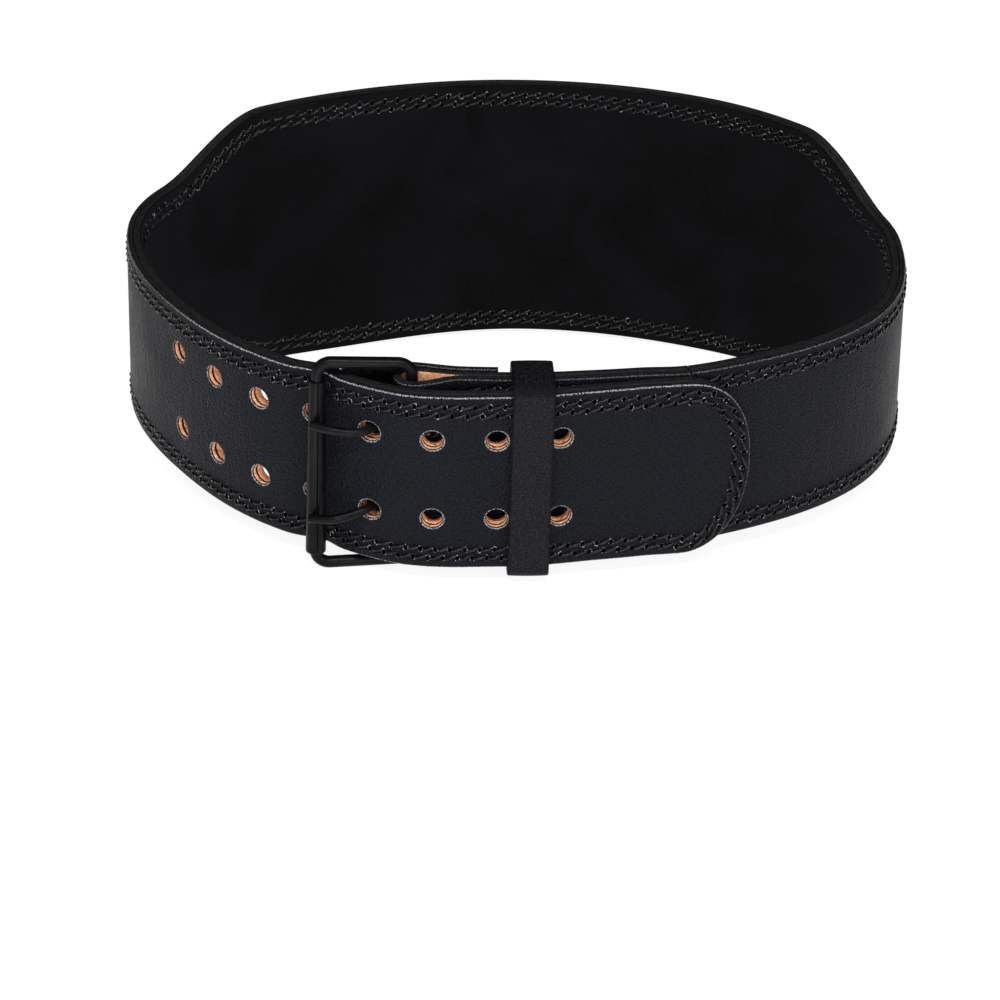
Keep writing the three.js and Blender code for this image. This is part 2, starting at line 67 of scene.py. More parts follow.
upper_prong_rise, lower_prong_fall = 1.7, 6.4
bar_before_front, fold_inner_radius, fold_swell, pocket_length = 52.5, 5.2, 3.2, 26
seam_from_bar, buckle_end_dip = 142.5, 7.9
guard_thickness, guard_height, guard_past_bar, guard_behind_bar = 2.6, 102, 43, 44
guard_corner, guard_rise = 14, 4.2
keeper_width, keeper_wall, keeper_from_bar, keeper_turn = 21, 3, 60.4, 0.9
keeper_above, keeper_below, keeper_fit, keeper_corner = 3, 1.9, 0.5, 5

strap_thickness = outer_thickness + layer_gap + lining_thickness
leg_thickness = (strap_thickness - layer_gap) / 2
wire_radius = wire_diameter / 2
prong_radius = prong_diameter / 2

# The belt leans forward on its lower edges, and its own frame is set this far from the model's origin.
belt_tilt = math.radians(4.08773)
belt_place = np.array([1.7378, 21.5457, 71.9655]) / 1000
print("strap is", strap_thickness, "mm thick, and its back panel", panel_height, "mm high")

# %% [markdown]
# ## The waist loop
# The whole belt follows one closed line as seen from above. A place on the belt is then two numbers:
# how far round it is, from the middle of the back, and how high. Any leather can be drawn flat with those
# two numbers and bent into place afterwards, as a real strap is cut flat and then worn.

# %% Follow the waist loop
def closed_row_at(row, place):
    """Smooth value of a closed row of numbers, at places given in steps along it."""
    row = np.asarray(row, float)
    i = np.floor(place).astype(int)
    t = place - i
    a, b, c, d = (row[(i + k) % len(row)] for k in (-1, 0, 1, 2))
    return b + 0.5 * t * (c - a + t * (2 * a - 5 * b + 4 * c - d + t * (3 * (b - c) + d - a)))


def through_knots(knots, place):
    """Smooth value through knots (place, value), with no overshoot between them."""
    x, y = np.array(knots, float).T
    slope = np.diff(y) / np.diff(x)
    before, after = slope[:-1], slope[1:]
    total = np.where(before + after == 0, 1, before + after)
    lean = np.zeros(len(x))
    lean[1:-1] = np.where(before * after > 0, 2 * before * after / total, 0)
    place = np.clip(place, x[0], x[-1])
    i = np.clip(np.searchsorted(x, place) - 1, 0, len(x) - 2)
    h = x[i + 1] - x[i]
    t = (place - x[i]) / h
    p, q, m, n = y[i], y[i + 1], lean[i] * h, lean[i + 1] * h
    return p + t * (m + t * (3 * (q - p) - 2 * m - n + t * (2 * (p - q) + m + n)))


def smoothstep(value, low, high):
    t = np.clip((value - low) / (high - low), 0, 1)
    return t * t * (3 - 2 * t)


loop_steps = 1440
angles = np.pi / 2 + 2 * np.pi * np.arange(loop_steps + 1) / loop_steps
swell = closed_row_at(loop_swell, angles * len(loop_swell) / (2 * np.pi))
leans = closed_row_at(edge_lean, angles * len(edge_lean) / (2 * np.pi))
depths = np.where(np.sin(angles) > 0, loop_back_depth, loop_front_depth)
loop_xy = np.column_stack((loop_half_width * np.cos(angles), depths * np.sin(angles))) * swell[:, None]
loop_s = np.concatenate(([0], np.cumsum(np.linalg.norm(np.diff(loop_xy, axis=0), axis=1))))
around = loop_s[-1]
ring = loop_xy[:-1]
loop_along = np.roll(ring, -1, 0) - np.roll(ring, 1, 0)
loop_along /= np.linalg.norm(loop_along, axis=1)[:, None]
loop_along = np.vstack((loop_along, loop_along[:1]))
print("waist loop is", round(around), "mm round")


def columns(table, place):
    return np.column_stack([np.interp(place, loop_s, table[:, k]) for k in (0, 1)])


def on_loop(arc):
    """Points, outward directions and edge leans at arc lengths round the loop."""
    place = np.atleast_1d(arc).astype(float) % around
    along = columns(loop_along, place)
    along /= np.linalg.norm(along, axis=1)[:, None]
    outward = np.column_stack((along[:, 1], -along[:, 0]))
    return columns(loop_xy, place), outward, np.interp(place, loop_s, leans)


def standing_off(arc, stand_off):
    point, out, _ = on_loop(arc)
    return point + out * np.atleast_1d(stand_off)[:, None]


# %% [markdown]
# ## Where the pieces sit in front
# The buckle, the keeper and the end of the tongue are placed by their distance round the belt.
# Each line of knots says how far the leather stands off the waist loop at a few of those places.

# %% Places and stand-offs
front_middle = loop_s[loop_steps // 2]
bar_at = front_middle - bar_before_front
roller_at = bar_at - frame_reach
keeper_at = bar_at + keeper_from_bar
seam_at = bar_at + seam_from_bar
tip_at = roller_at + tongue_length
prong_hole_at = bar_at - prong_hole_from_bar
fold_outer_radius = fold_inner_radius + leg_thickness
bar_stand_off = -buckle_end_dip - strap_thickness / 2 + fold_swell

buckle_end_knots = [
    (bar_at, -buckle_end_dip),
    (keeper_at + keeper_width, -0.93 * buckle_end_dip),
    (seam_at - 0.18 * seam_from_bar, -0.67 * buckle_end_dip),
    (seam_at, -0.1 * buckle_end_dip),
    (seam_at + keeper_width, 0),
]
over_fold = bar_stand_off + fold_outer_radius + fit_gap + strap_thickness
on_strap = fit_gap + 0.1 + strap_thickness
tongue_knots = [
    (roller_at - 20, 0),
    (roller_at, roller_stand_off - roller_top / 2 - fit_gap - 0.05),
    (roller_at + 0.26 * frame_reach, 0.22 * over_fold),
    (prong_hole_at, 0.62 * over_fold),
    (bar_at - 0.15 * frame_reach, 0.9 * over_fold),
    (bar_at, 1.01 * over_fold),
    (bar_at + 0.25 * frame_reach, 1.05 * over_fold),
    (keeper_at - keeper_width, 0.9 * over_fold),
    (keeper_at, 0.81 * over_fold),
    (keeper_at + keeper_width, 0.61 * over_fold),
    (keeper_at + 1.6 * keeper_width, 0.53 * over_fold),
    (seam_at - 0.18 * seam_from_bar, 0.58 * over_fold),
    (seam_at - 0.08 * seam_from_bar, 0.78 * over_fold),
    (seam_at, 0.98 * on_strap),
    (tip_at - tip_length / 2, on_strap),
]
strap_start, strap_end = seam_at + fit_gap / 2, around + tip_at


def strap_outer(arc):
    end = through_knots(buckle_end_knots, arc)
    return np.where(arc < seam_at + 2 * keeper_width, end, through_knots(tongue_knots, arc - around))


def half_height(arc):
    from_back = np.abs((arc + around / 2) % around - around / 2 - panel_shift)
    taper = smoothstep(from_back, panel_flat / 2, panel_flat / 2 + panel_taper)
    return (panel_height + (strap_height - panel_height) * taper) / 2


def drop_at(arc):
    return tongue_drop * smoothstep(arc, around + roller_at - frame_reach, around + bar_at)


face_arcs = np.linspace(strap_start, strap_end, 1400)
face_xy = standing_off(face_arcs, strap_outer(face_arcs))
face_along = np.gradient(face_xy, axis=0)
face_along /= np.linalg.norm(face_along, axis=1)[:, None]
print("tongue reaches", round(strap_end - around - front_middle), "mm past the middle of the front")


def strap_place(flat, depth):
    """Bends flat points (arc, height) of the strap into the belt's frame, at a depth below its outer face."""
    arc, height = flat[:, 0], flat[:, 1]
    xy = np.column_stack([np.interp(arc, face_arcs, face_xy[:, k]) for k in (0, 1)])
    along = np.column_stack([np.interp(arc, face_arcs, face_along[:, k]) for k in (0, 1)])
    along /= np.linalg.norm(along, axis=1)[:, None]
    lean = np.interp(arc % around, loop_s, leans) * height / (strap_height / 2)
    xy = xy + np.column_stack((along[:, 1], -along[:, 0])) * (lean - depth)[:, None]
    return np.column_stack((xy, height - drop_at(arc)))


def to_room(points):
    """From the belt's own frame in millimetres to the room in metres."""
    points = np.asarray(points, float)
    x, y, z = points[..., 0], points[..., 1], points[..., 2]
    cosine, sine = math.cos(belt_tilt), math.sin(belt_tilt)
    return np.stack((x, y * cosine - z * sine, y * sine + z * cosine), axis=-1) / 1000 + belt_place


def lies_in_room(directions):
    return (to_room(directions) - belt_place) * 1000


# %% [markdown]
# ## Flat patterns
# A strap is cut from a sheet: an outline and some punched holes. The pattern here is a net of triangles
# between lines that run round the outline at fixed distances in from it, so an edge can be rounded over
# and a row of stitches pressed in by moving whole lines. Two such nets, back to back, and a strip of wall
# round every edge make one closed piece of leather.

# %% Helpers for flat patterns
row_shift = 2.1  # how much nearer the edge the stitches run round the tip
tip_stretch = 2.2  # how much longer the stitch pitch is there
outline_step = 2.6  # from one point of an outline to the next


def even_outline(points, step):
    """Resamples a flat line evenly. Returns its points, its inward directions and its lengths."""
    lengths = np.concatenate(([0], np.cumsum(np.linalg.norm(np.diff(points, axis=0), axis=1))))
    t = np.linspace(0, lengths[-1], int(lengths[-1] / step) + 1)
    even = np.column_stack([np.interp(t, lengths, points[:, k]) for k in (0, 1)])
    along = np.gradient(even, axis=0)
    along[[0, -1]] = [[1, 0], [-1, 0]]
    along /= np.linalg.norm(along, axis=1)[:, None]
    return even, np.column_stack((along[:, 1], -along[:, 0])), t


def inside(points, polygon):
    """Whether each flat point is inside a closed flat polygon."""
    result = np.zeros(len(points), bool)
    x, y = points.T
    for (x0, y0), (x1, y1) in zip(polygon, np.roll(polygon, -1, 0)):
        if y0 == y1:
            continue
        crosses = (y0 > y) != (y1 > y)
        result ^= crosses & (x < (x1 - x0) * (y - y0) / (y1 - y0) + x0)
    return result


def slot_ring(hole, grow, count=32):
    """Points round a hole (x, y, radius, half length): a circle, or two half circles joined by straights."""
    x, y, radius, reach = hole
    turn = 2 * np.pi * (np.arange(count) + 0.5) / count
    ring_points = np.column_stack((np.cos(turn), np.sin(turn))) * (radius + grow)
    ring_points[:, 0] += np.where(np.cos(turn) > 0, reach, -reach)
    return ring_points + (x, y)


def from_hole(points, hole):
    """How far flat points are from a hole's edge."""
    x, y, radius, reach = hole
    across = np.maximum(np.abs(points[:, 0] - x) - reach, 0)
    return np.hypot(across, points[:, 1] - y) - radius


class Pattern:
    """A flat net with its outline, holes, distances in from the edge and stitch counts along the edge."""

    def __init__(self, outline, holes, insets, grows, step, pitch, near_tip=None):
        edge, inward, lengths = even_outline(outline, outline_step)
        self.edge, self.inward, self.lengths = edge, inward, lengths
        self.near_tip = near_tip or (lambda arc: np.zeros_like(arc))
        pitches = pitch + tip_stretch * self.near_tip(edge[:, 0])
        self.phase_at_edge = np.concatenate(([0], np.cumsum(np.diff(lengths) / pitches[1:])))
        points = [edge + inward * inset for inset in insets]
        n = len(edge)
        links = []
        for k in range(len(insets)):
            links += [(k * n + i, k * n + i + 1) for i in range(n - 1)]
        last = insets[-1]
        start = edge[0, 0]
        column = np.arange(edge[-1, 1] + last + step, edge[0, 1] - last - 0.5 * step, step)
        points.append(np.column_stack((np.full(len(column), start), column)))
        first = n * len(insets)
        closing = [k * n + n - 1 for k in range(len(insets))]
        closing += list(range(first, first + len(column)))
        closing += [k * n for k in reversed(range(len(insets)))]
        links += list(zip(closing[:-1], closing[1:]))
        count = first + len(column)
        rings = []
        for hole in holes:
            for grow in grows:
                points.append(slot_ring(hole, grow))
                size = len(points[-1])
                loop = list(range(count, count + size))
                links += list(zip(loop, loop[1:] + loop[:1]))
                if grow == 0:
                    rings.append(loop)
                count += size
        low, high = edge.min(0), edge.max(0)
        gx, gy = np.meshgrid(np.arange(start + step, high[0], step), np.arange(low[1], high[1], step))
        gx = gx + np.where(np.arange(len(gx)) % 2, step / 2, 0)[:, None]
        fill = np.column_stack((gx.ravel(), gy.ravel()))
        fill = fill[fill[:, 0] > start + 0.4 * step]
        fill = fill[inside(fill, edge)]
        fill = fill[self.measure(fill)[0] > last + 0.6 * step]
        for hole in holes:
            fill = fill[from_hole(fill, hole) > grows[-1] + 0.5 * step]
        points.append(fill)
        points = np.vstack(points)
        out = delaunay_2d_cdt([Vector(p) for p in points], links, [], 0, 1e-5)
        self.flat = np.array([tuple(p) for p in out[0]])
        renamed = {old: new for new, olds in enumerate(out[3]) for old in olds}
        triangles = np.array(out[2])
        corners = self.flat[triangles]
        area = np.cross(corners[:, 1] - corners[:, 0], corners[:, 2] - corners[:, 0])
        triangles[area < 0] = triangles[area < 0][:, ::-1]
        middle = corners.mean(1)
        keep = inside(middle, edge) & (np.abs(area) > 1e-6)
        for hole in holes:
            keep &= ~inside(middle, slot_ring(hole, 0))
        self.triangles = triangles[keep]
        self.edges = [[renamed[i] for i in list(range(n)) + closing[1:-1]]]
        self.edges += [[renamed[i] for i in loop] for loop in rings]
        self.inset, self.phase = self.measure(self.flat)
        self.row_inset = self.inset + row_shift * self.near_tip(self.flat[:, 0])
        near = [from_hole(self.flat, hole) for hole in holes]
        self.from_holes = np.min(near, axis=0) if near else np.full(len(self.flat), 1e3)

    def measure(self, points):
        """Distance in from the outline and stitch count along it, for flat points."""
        inset, phase = np.empty(len(points)), np.empty(len(points))
        for k in range(0, len(points), 2000):
            part = points[k : k + 2000]
            gap = part[:, None] - self.edge[None]
            nearest = np.argmin((gap**2).sum(2), axis=1)
            side = self.inward[nearest]
            rest = part - self.edge[nearest]
            along = np.column_stack((-side[:, 1], side[:, 0]))
            inset[k : k + 2000] = np.abs((rest * side).sum(1))
            slope = np.gradient(self.phase_at_edge, self.lengths)[nearest]
            phase[k : k + 2000] = self.phase_at_edge[nearest] + (rest * along).sum(1) * slope
        return inset, phase


# %% [markdown]
# ## From a pattern to a closed piece
# The outer face rolls over at its edges as burnished leather does, in a quarter circle. Each stitch row
# lies in a shallow groove, because the thread pulls the leather down. The inner face and the walls close
# the piece, and each part of it gets its own finish: face, back, cut edge, and the raw wall of a hole.

# %% Helpers for closed pieces
outer_groove, inner_groove = (1.0, 0.32), (0.9, 0.15)  # width and depth
inner_lip = 0.6  # the most that a hole's rim is rounded on the inner face
wall_band = 1.1  # height of one band of wall on the UV map


def rolled(distance, radius):
    """How far a face has sunk at a distance in from an edge of this radius."""
    inner = np.clip(radius - distance, 0, radius)
    return radius - np.sqrt(np.maximum(radius**2 - inner**2, 0))


def grooves(inset, rows, width, depth):
    return sum(depth * np.exp(-(((inset - row) / width) ** 2)) for row in rows)


def new_mesh(name, points, faces, materials, slots=None, uv=None, values=None, smooth=True):
    """A mesh object at the origin, with its place in its mesh."""
    mesh = bpy.data.meshes.new(name)
    mesh.from_pydata(np.asarray(points).tolist(), [], [list(map(int, f)) for f in faces])
    for material in materials:
        mesh.materials.append(material)
    if slots is not None:
        mesh.polygons.foreach_set("material_index", np.asarray(slots, np.int32))
    if uv is not None:
        layer = mesh.uv_layers.new(name="UVMap")
        layer.data.foreach_set("uv", np.asarray(uv, np.float32).ravel())
    for key, data in (values or {}).items():
        layer = mesh.attributes.new(key, "FLOAT", "POINT")
        layer.data.foreach_set("value", np.asarray(data, np.float32))
    mesh.polygons.foreach_set("use_smooth", np.full(len(mesh.polygons), smooth))
    mesh.update()
    piece = bpy.data.objects.new(name, mesh)
    bpy.context.scene.collection.objects.link(piece)
    return piece


def leather_piece(name, pattern, place, low, high, rows, edge_radius, back_radius, lip, materials,
                  inked=None):
    """Closes a pattern into leather between two depths. Materials: face, back, edge, hole wall.
    Where inked says so, the back is dyed like the edge."""
    flat, count = pattern.flat, len(pattern.flat)
    sink = rolled(pattern.inset, edge_radius) + grooves(pattern.row_inset, rows, *outer_groove)
    sink = np.maximum(sink, rolled(pattern.from_holes, lip))
    rise = rolled(pattern.inset, back_radius) + grooves(pattern.row_inset, rows, *inner_groove)
    rise = np.maximum(rise, rolled(pattern.from_holes, min(lip, inner_lip)))
    points = [place(flat, low + sink), place(flat, high - rise)]
    faces = [tuple(t) for t in pattern.triangles] + [tuple(t[::-1] + count) for t in pattern.triangles]
    slots = [0] * len(pattern.triangles) + [1] * len(pattern.triangles)
    if inked is not None:
        dyed = inked(flat[pattern.triangles].mean(1), pattern.inset[pattern.triangles].mean(1))
        slots = [0] * len(pattern.triangles) + np.where(dyed, 2, 1).tolist()
    uv = [flat[pattern.triangles].reshape(-1, 2), flat[pattern.triangles[:, ::-1]].reshape(-1, 2)]
    total = 2 * count
    walls = []
    for k, loop in enumerate(pattern.edges):
        loop = np.array(loop)
        top, bottom = low + sink[loop], high - rise[loop]
        levels = [0.25, 0.5, 0.75] if k == 0 else [0.5]
        rows_of_wall = [loop]
        for share in levels:
            points.append(place(flat[loop], top + (bottom - top) * share))
            rows_of_wall.append(np.arange(total, total + len(loop)))
            walls += loop.tolist()
            total += len(loop)
        rows_of_wall.append(loop + count)
        span = np.arange(len(loop) + 1) * outline_step
        for j, (upper, lower) in enumerate(zip(rows_of_wall[:-1], rows_of_wall[1:])):
            for i in range(len(loop)):
                nxt = (i + 1) % len(loop)
                faces.append((upper[i], upper[nxt], lower[nxt], lower[i]))
                slots.append(2 if k == 0 else 3)
                v0, v1 = j * wall_band, (j + 1) * wall_band
                uv.append([(span[i], v0), (span[i + 1], v0), (span[i + 1], v1), (span[i], v1)])
    near = np.minimum(pattern.inset, pattern.from_holes)
    inset = np.concatenate((near, near, np.zeros(len(walls))))
    phase = np.concatenate((pattern.phase, pattern.phase, pattern.phase[walls]))
    room = to_room(np.vstack(points))
    row_inset = np.concatenate((pattern.row_inset, pattern.row_inset, np.zeros(len(walls))))
    values = {"inset": inset / 1000, "row_inset": row_inset / 1000, "stitch_count": phase}
    uv = np.vstack([np.asarray(u, float).reshape(-1, 2) for u in uv]) / 1000
    piece = new_mesh(name, room, faces, materials, slots, uv, values)
    print(name, "has", len(faces), "faces")
    return piece


# %% [markdown]
# ## Finishes
# Every finish is built from nodes. Small helpers keep the trees short to read: one adds a node and
# connects what it is given, one does sums, and one picks out a band of a value.

# %% Helpers for materials
def add(tree, kind, inputs=None, **settings):
    node = tree.nodes.new(kind)
    for key, value in settings.items():
        setattr(node, key, value)
    for key, value in (inputs or {}).items():
        if isinstance(value, bpy.types.NodeSocket):
            tree.links.new(value, node.inputs[key])
        else:
            node.inputs[key].default_value = value
    return node


def calc(tree, operation, *values):
    node = add(tree, "ShaderNodeMath", dict(enumerate(values)), operation=operation)
    return node.outputs[0]


def ramp(tree, value, low, high, start=0.0, end=1.0):
    inputs = {"Value": value, "From Min": low, "From Max": high, "To Min": start, "To Max": end}
    return add(tree, "ShaderNodeMapRange", inputs).outputs["Result"]


def mixed_value(tree, share, first, second):
    return calc(tree, "ADD", first, calc(tree, "MULTIPLY", share, calc(tree, "SUBTRACT", second, first)))


def mixed(tree, share, first, second):
    node = add(tree, "ShaderNodeMix", {"Factor": share}, data_type="RGBA")
    for key, value in ((6, first), (7, second)):
        if isinstance(value, bpy.types.NodeSocket):
            tree.links.new(value, node.inputs[key])
        else:
            node.inputs[key].default_value = (*value, 1)
    return node.outputs[2]


def new_finish(name, **constants):
    """A material with one Principled shader, whose even values sit on the shader's own sockets."""
    material = bpy.data.materials.new(name)
    material.use_nodes = True
    shader = material.node_tree.nodes["Principled BSDF"]
    for key, value in constants.items():
        shader.inputs[key.replace("_", " ").title().replace("Ior", "IOR")].default_value = value
    return material, material.node_tree, shader


def bumped(tree, shader, height, strength, distance, under=None):
    inputs = {"Height": height, "Strength": strength, "Distance": distance}
    if under is not None:
        inputs["Normal"] = under
    normal = add(tree, "ShaderNodeBump", inputs).outputs["Normal"]
    tree.links.new(normal, shader.inputs["Normal"])
    return normal


mark_half_length, mark_half_width, mark_slant = 0.00115, 0.00105, 0.7
band_edge, band_core = 0.0021, 0.0008


def stitch_marks(tree, rows, pitch):
    """Masks along the stitch rows: the awl holes between stitches, which the finishes sink and fill with
    painted shade, and the pressed band that they lie in.
    """
    inset = add(tree, "ShaderNodeAttribute", attribute_name="inset").outputs["Fac"]
    row_inset = add(tree, "ShaderNodeAttribute", attribute_name="row_inset").outputs["Fac"]
    count = add(tree, "ShaderNodeAttribute", attribute_name="stitch_count").outputs["Fac"]
    holes, band = 0.0, 0.0
    for k, row in enumerate(rows):
        across = calc(tree, "SUBTRACT", row_inset, row / 1000)
        turn = calc(tree, "FRACT", calc(tree, "ADD", count, 0.5 + 0.5 * k))
        along = calc(tree, "MULTIPLY", calc(tree, "SUBTRACT", turn, 0.5), pitch / 1000)
        slant = calc(tree, "ADD", along, calc(tree, "MULTIPLY", across, mark_slant))
        near = calc(tree, "ADD", calc(tree, "POWER", calc(tree, "DIVIDE", slant, mark_half_length), 2.0),
                    calc(tree, "POWER", calc(tree, "DIVIDE", across, mark_half_width), 2.0))
        holes = calc(tree, "ADD", holes, ramp(tree, near, 1.3, 0.25))
        pressed = ramp(tree, calc(tree, "ABSOLUTE", across), band_edge, band_core)
        band = calc(tree, "MAXIMUM", band, pressed)
    return holes, band, inset


# %% [markdown]
# ### Grain leather
# The face is black bridle leather: a tight pebbled grain, a few long faint creases, and a soft gloss that
# comes from wax, not varnish. Round the stitches the leather is pressed and rubbed, with a trace of plum.
# The rolled edge carries a painted highlight in pale flecks, strongest along the tongue and weaker near its
# tip.
# The grain follows the strap, so it reads the piece's own UV map, in metres along and up the strap.

# %% Grain leather
stitch_rows, stitch_pitch = (5.9, 10.9), 7.3
edge_highlight_from_tip, highlight_dim_tip = 340, 25  # the painted edge highlight is strongest between these distances from the tongue's tip
highlight_fades_in, highlight_fades_out = 0.05, 0.02


def grain_finish(name, rows, tint=(0.0040, 0.0043, 0.0058), rough=0.4):
    material, tree, shader = new_finish(name, specular_ior_level=0.085)
    shader.inputs["Specular Tint"].default_value = (0.86, 0.88, 1.0, 1)
    uv = add(tree, "ShaderNodeTexCoord").outputs["UV"]
    place = add(tree, "ShaderNodeTexCoord").outputs["Object"]
    pebble = add(tree, "ShaderNodeTexVoronoi", {"Vector": uv, "Scale": 720.0, "Randomness": 0.95},
                 voronoi_dimensions="2D", feature="SMOOTH_F1").outputs["Distance"]
    pore = add(tree, "ShaderNodeTexNoise", {"Vector": uv, "Scale": 1150.0, "Detail": 3.0}).outputs["Fac"]
    cloud = add(tree, "ShaderNodeTexNoise", {"Vector": place, "Scale": 34.0, "Detail": 5.0}).outputs["Fac"]
    stretch = add(tree, "ShaderNodeMapping", {"Vector": uv, "Scale": (260.0, 60.0, 1.0)}).outputs[0]
    crease = add(tree, "ShaderNodeTexNoise", {"Vector": stretch, "Scale": 1.0, "Detail": 4.0}).outputs["Fac"]
    colour = mixed(tree, ramp(tree, cloud, 0.35, 0.7), tint, tuple(1.5 * k for k in tint))
    colour = mixed(tree, ramp(tree, pebble, 0.75, 0.35, 0.0, 0.5), colour, tuple(0.4 * k for k in tint))
    colour = mixed(tree, ramp(tree, pore, 0.46, 0.68), colour, tuple(3.0 * k for k in tint))
    level = calc(tree, "ADD", calc(tree, "MULTIPLY", pebble, 0.5), calc(tree, "MULTIPLY", pore, 0.5))
    level = calc(tree, "ADD", level, calc(tree, "MULTIPLY", crease, 0.55))
    roughness = ramp(tree, cloud, 0.3, 0.75, rough - 0.05, rough + 0.09)
    if rows:
        holes, band, inset = stitch_marks(tree, rows, stitch_pitch)
        colour = mixed(tree, calc(tree, "MULTIPLY", band, 0.6), colour, (0.0080, 0.0056, 0.0068))
        rub = ramp(tree, inset, 0.0018, 0.0004)
        roughness = mixed_value(tree, rub, roughness, 0.17)
        # Painted highlight: pale flecks along the rolled edge stand for light caught by the edge.
        painted_edge_highlight = calc(tree, "MULTIPLY", ramp(tree, inset, 0.0010, 0.0006), ramp(tree, pore, 0.38, 0.6))
        painted_edge_highlight = calc(tree, "MULTIPLY", painted_edge_highlight, ramp(tree, inset, 0.0001, 0.0005))
        reach = add(tree, "ShaderNodeSeparateXYZ", {"Vector": uv}).outputs["X"]
        tongue_begins, tip_begins = (strap_end - edge_highlight_from_tip) / 1000, (strap_end - highlight_dim_tip) / 1000
        on_tongue = ramp(tree, reach, tongue_begins, tongue_begins + highlight_fades_in, 0.3, 1.0)
        off_tip = ramp(tree, reach, tip_begins, tip_begins + highlight_fades_out, 1.0, 0.35)
        painted_edge_highlight = calc(tree, "MULTIPLY", calc(tree, "MULTIPLY", painted_edge_highlight, on_tongue), off_tip)
        colour = mixed(tree, painted_edge_highlight, colour, (0.48, 0.47, 0.50))
        # Painted shade: the awl holes are coloured near black, where shade fills them.
        colour = mixed(tree, holes, colour, (0.0004, 0.0004, 0.0004))
        level = calc(tree, "SUBTRACT", level, calc(tree, "MULTIPLY", holes, 4.0))
        level = calc(tree, "SUBTRACT", level, calc(tree, "MULTIPLY", band, 1.2))
        twill = add(tree, "ShaderNodeTexNoise", {"Vector": uv, "Scale": 900.0, "Detail": 1.0}).outputs["Fac"]
        level = calc(tree, "ADD", level, calc(tree, "MULTIPLY", calc(tree, "MULTIPLY", band, twill), 2.2))
        roughness = mixed_value(tree, band, roughness, 0.3)
    tree.links.new(colour, shader.inputs["Base Color"])
    tree.links.new(roughness, shader.inputs["Roughness"])
    bumped(tree, shader, level, 1.0, 0.0018)
    return material


grain = grain_finish("grain_leather_face", stitch_rows)
print("made", grain.name)

# %% [markdown]
# ### Suede, cut edges and raw leather
# The lining is suede: nap that scatters light, darker where it was brushed one way. A cut edge is
# sanded and inked, so it is dull with fine lengthwise scratches. Inside a punched hole the dye never
# reached, so the wall is tan, with scorched specks where the punch rubbed.

# %% Suede, cut edges and raw leather
def suede_finish(name, rows):
    material, tree, shader = new_finish(name, roughness=0.95, specular_ior_level=0.05,
                                        sheen_weight=0.02, sheen_roughness=0.6)
    shader.inputs["Sheen Tint"].default_value = (0.75, 0.7, 0.85, 1)
    place = add(tree, "ShaderNodeTexCoord").outputs["Object"]
    nap = add(tree, "ShaderNodeTexNoise", {"Vector": place, "Scale": 1300.0, "Detail": 4.0}).outputs["Fac"]
    brushed = add(tree, "ShaderNodeTexNoise", {"Vector": place, "Scale": 17.0, "Detail": 6.0,
                                               "Distortion": 0.6}).outputs["Fac"]
    colour = mixed(tree, ramp(tree, brushed, 0.36, 0.68), (0.0016, 0.0014, 0.0015), (0.0042, 0.0036, 0.0044))
    colour = mixed(tree, ramp(tree, nap, 0.56, 0.74, 0.0, 0.65), colour, (0.0095, 0.0078, 0.0095))
    level = calc(tree, "MULTIPLY", nap, 1.0)
    if rows:
        holes, band, _ = stitch_marks(tree, rows, stitch_pitch)
        colour = mixed(tree, calc(tree, "MULTIPLY", band, 0.5), colour, (0.0075, 0.0050, 0.0054))
        # Painted shade: the awl holes are coloured near black, where shade fills them.
        colour = mixed(tree, holes, colour, (0.0003, 0.0003, 0.0003))
        level = calc(tree, "SUBTRACT", level, calc(tree, "MULTIPLY", holes, 3.0))
    tree.links.new(colour, shader.inputs["Base Color"])
    bumped(tree, shader, level, 0.7, 0.00035)
    return material


def edge_finish(name):
    material, tree, shader = new_finish(name, specular_ior_level=0.2)
    uv = add(tree, "ShaderNodeTexCoord").outputs["UV"]
    place = add(tree, "ShaderNodeTexCoord").outputs["Object"]
    run = add(tree, "ShaderNodeMapping", {"Vector": uv, "Scale": (180.0, 1500.0, 1.0)}).outputs[0]
    scratch = add(tree, "ShaderNodeTexNoise", {"Vector": run, "Scale": 1.0, "Detail": 4.0}).outputs["Fac"]
    fibre = add(tree, "ShaderNodeTexNoise", {"Vector": place, "Scale": 900.0, "Detail": 5.0}).outputs["Fac"]
    both = calc(tree, "MULTIPLY", calc(tree, "ADD", scratch, fibre), 0.5)
    colour = mixed(tree, ramp(tree, both, 0.38, 0.62), (0.0022, 0.0022, 0.0026), (0.020, 0.020, 0.021))
    tree.links.new(colour, shader.inputs["Base Color"])
    tree.links.new(ramp(tree, fibre, 0.3, 0.7, 0.42, 0.75), shader.inputs["Roughness"])
    bumped(tree, shader, both, 0.8, 0.0005)
    return material


def raw_finish(name):
    material, tree, shader = new_finish(name, roughness=0.85, specular_ior_level=0.2)
    place = add(tree, "ShaderNodeTexCoord").outputs["Object"]
    fibre = add(tree, "ShaderNodeTexNoise", {"Vector": place, "Scale": 700.0, "Detail": 6.0}).outputs["Fac"]
    scorch = add(tree, "ShaderNodeTexNoise", {"Vector": place, "Scale": 330.0, "Detail": 3.0}).outputs["Fac"]
    colour = mixed(tree, ramp(tree, fibre, 0.35, 0.65), (0.66, 0.26, 0.11), (0.98, 0.58, 0.34))
    colour = mixed(tree, ramp(tree, scorch, 0.58, 0.68, 0.0, 0.85), colour, (0.035, 0.015, 0.010))
    tree.links.new(colour, shader.inputs["Base Color"])
    bumped(tree, shader, fibre, 0.6, 0.0005)
    return material


suede = suede_finish("suede_nap", stitch_rows)
cut_edge = edge_finish("inked_edge")
raw = raw_finish("undyed_leather")
print("made", suede.name, cut_edge.name, raw.name)

# %% [markdown]
# ### Painted wire
# The buckle is bent steel wire under satin black paint. Paint this thin shows a slight orange peel and
# small worn spots, so the roughness wanders and the surface is never quite smooth.

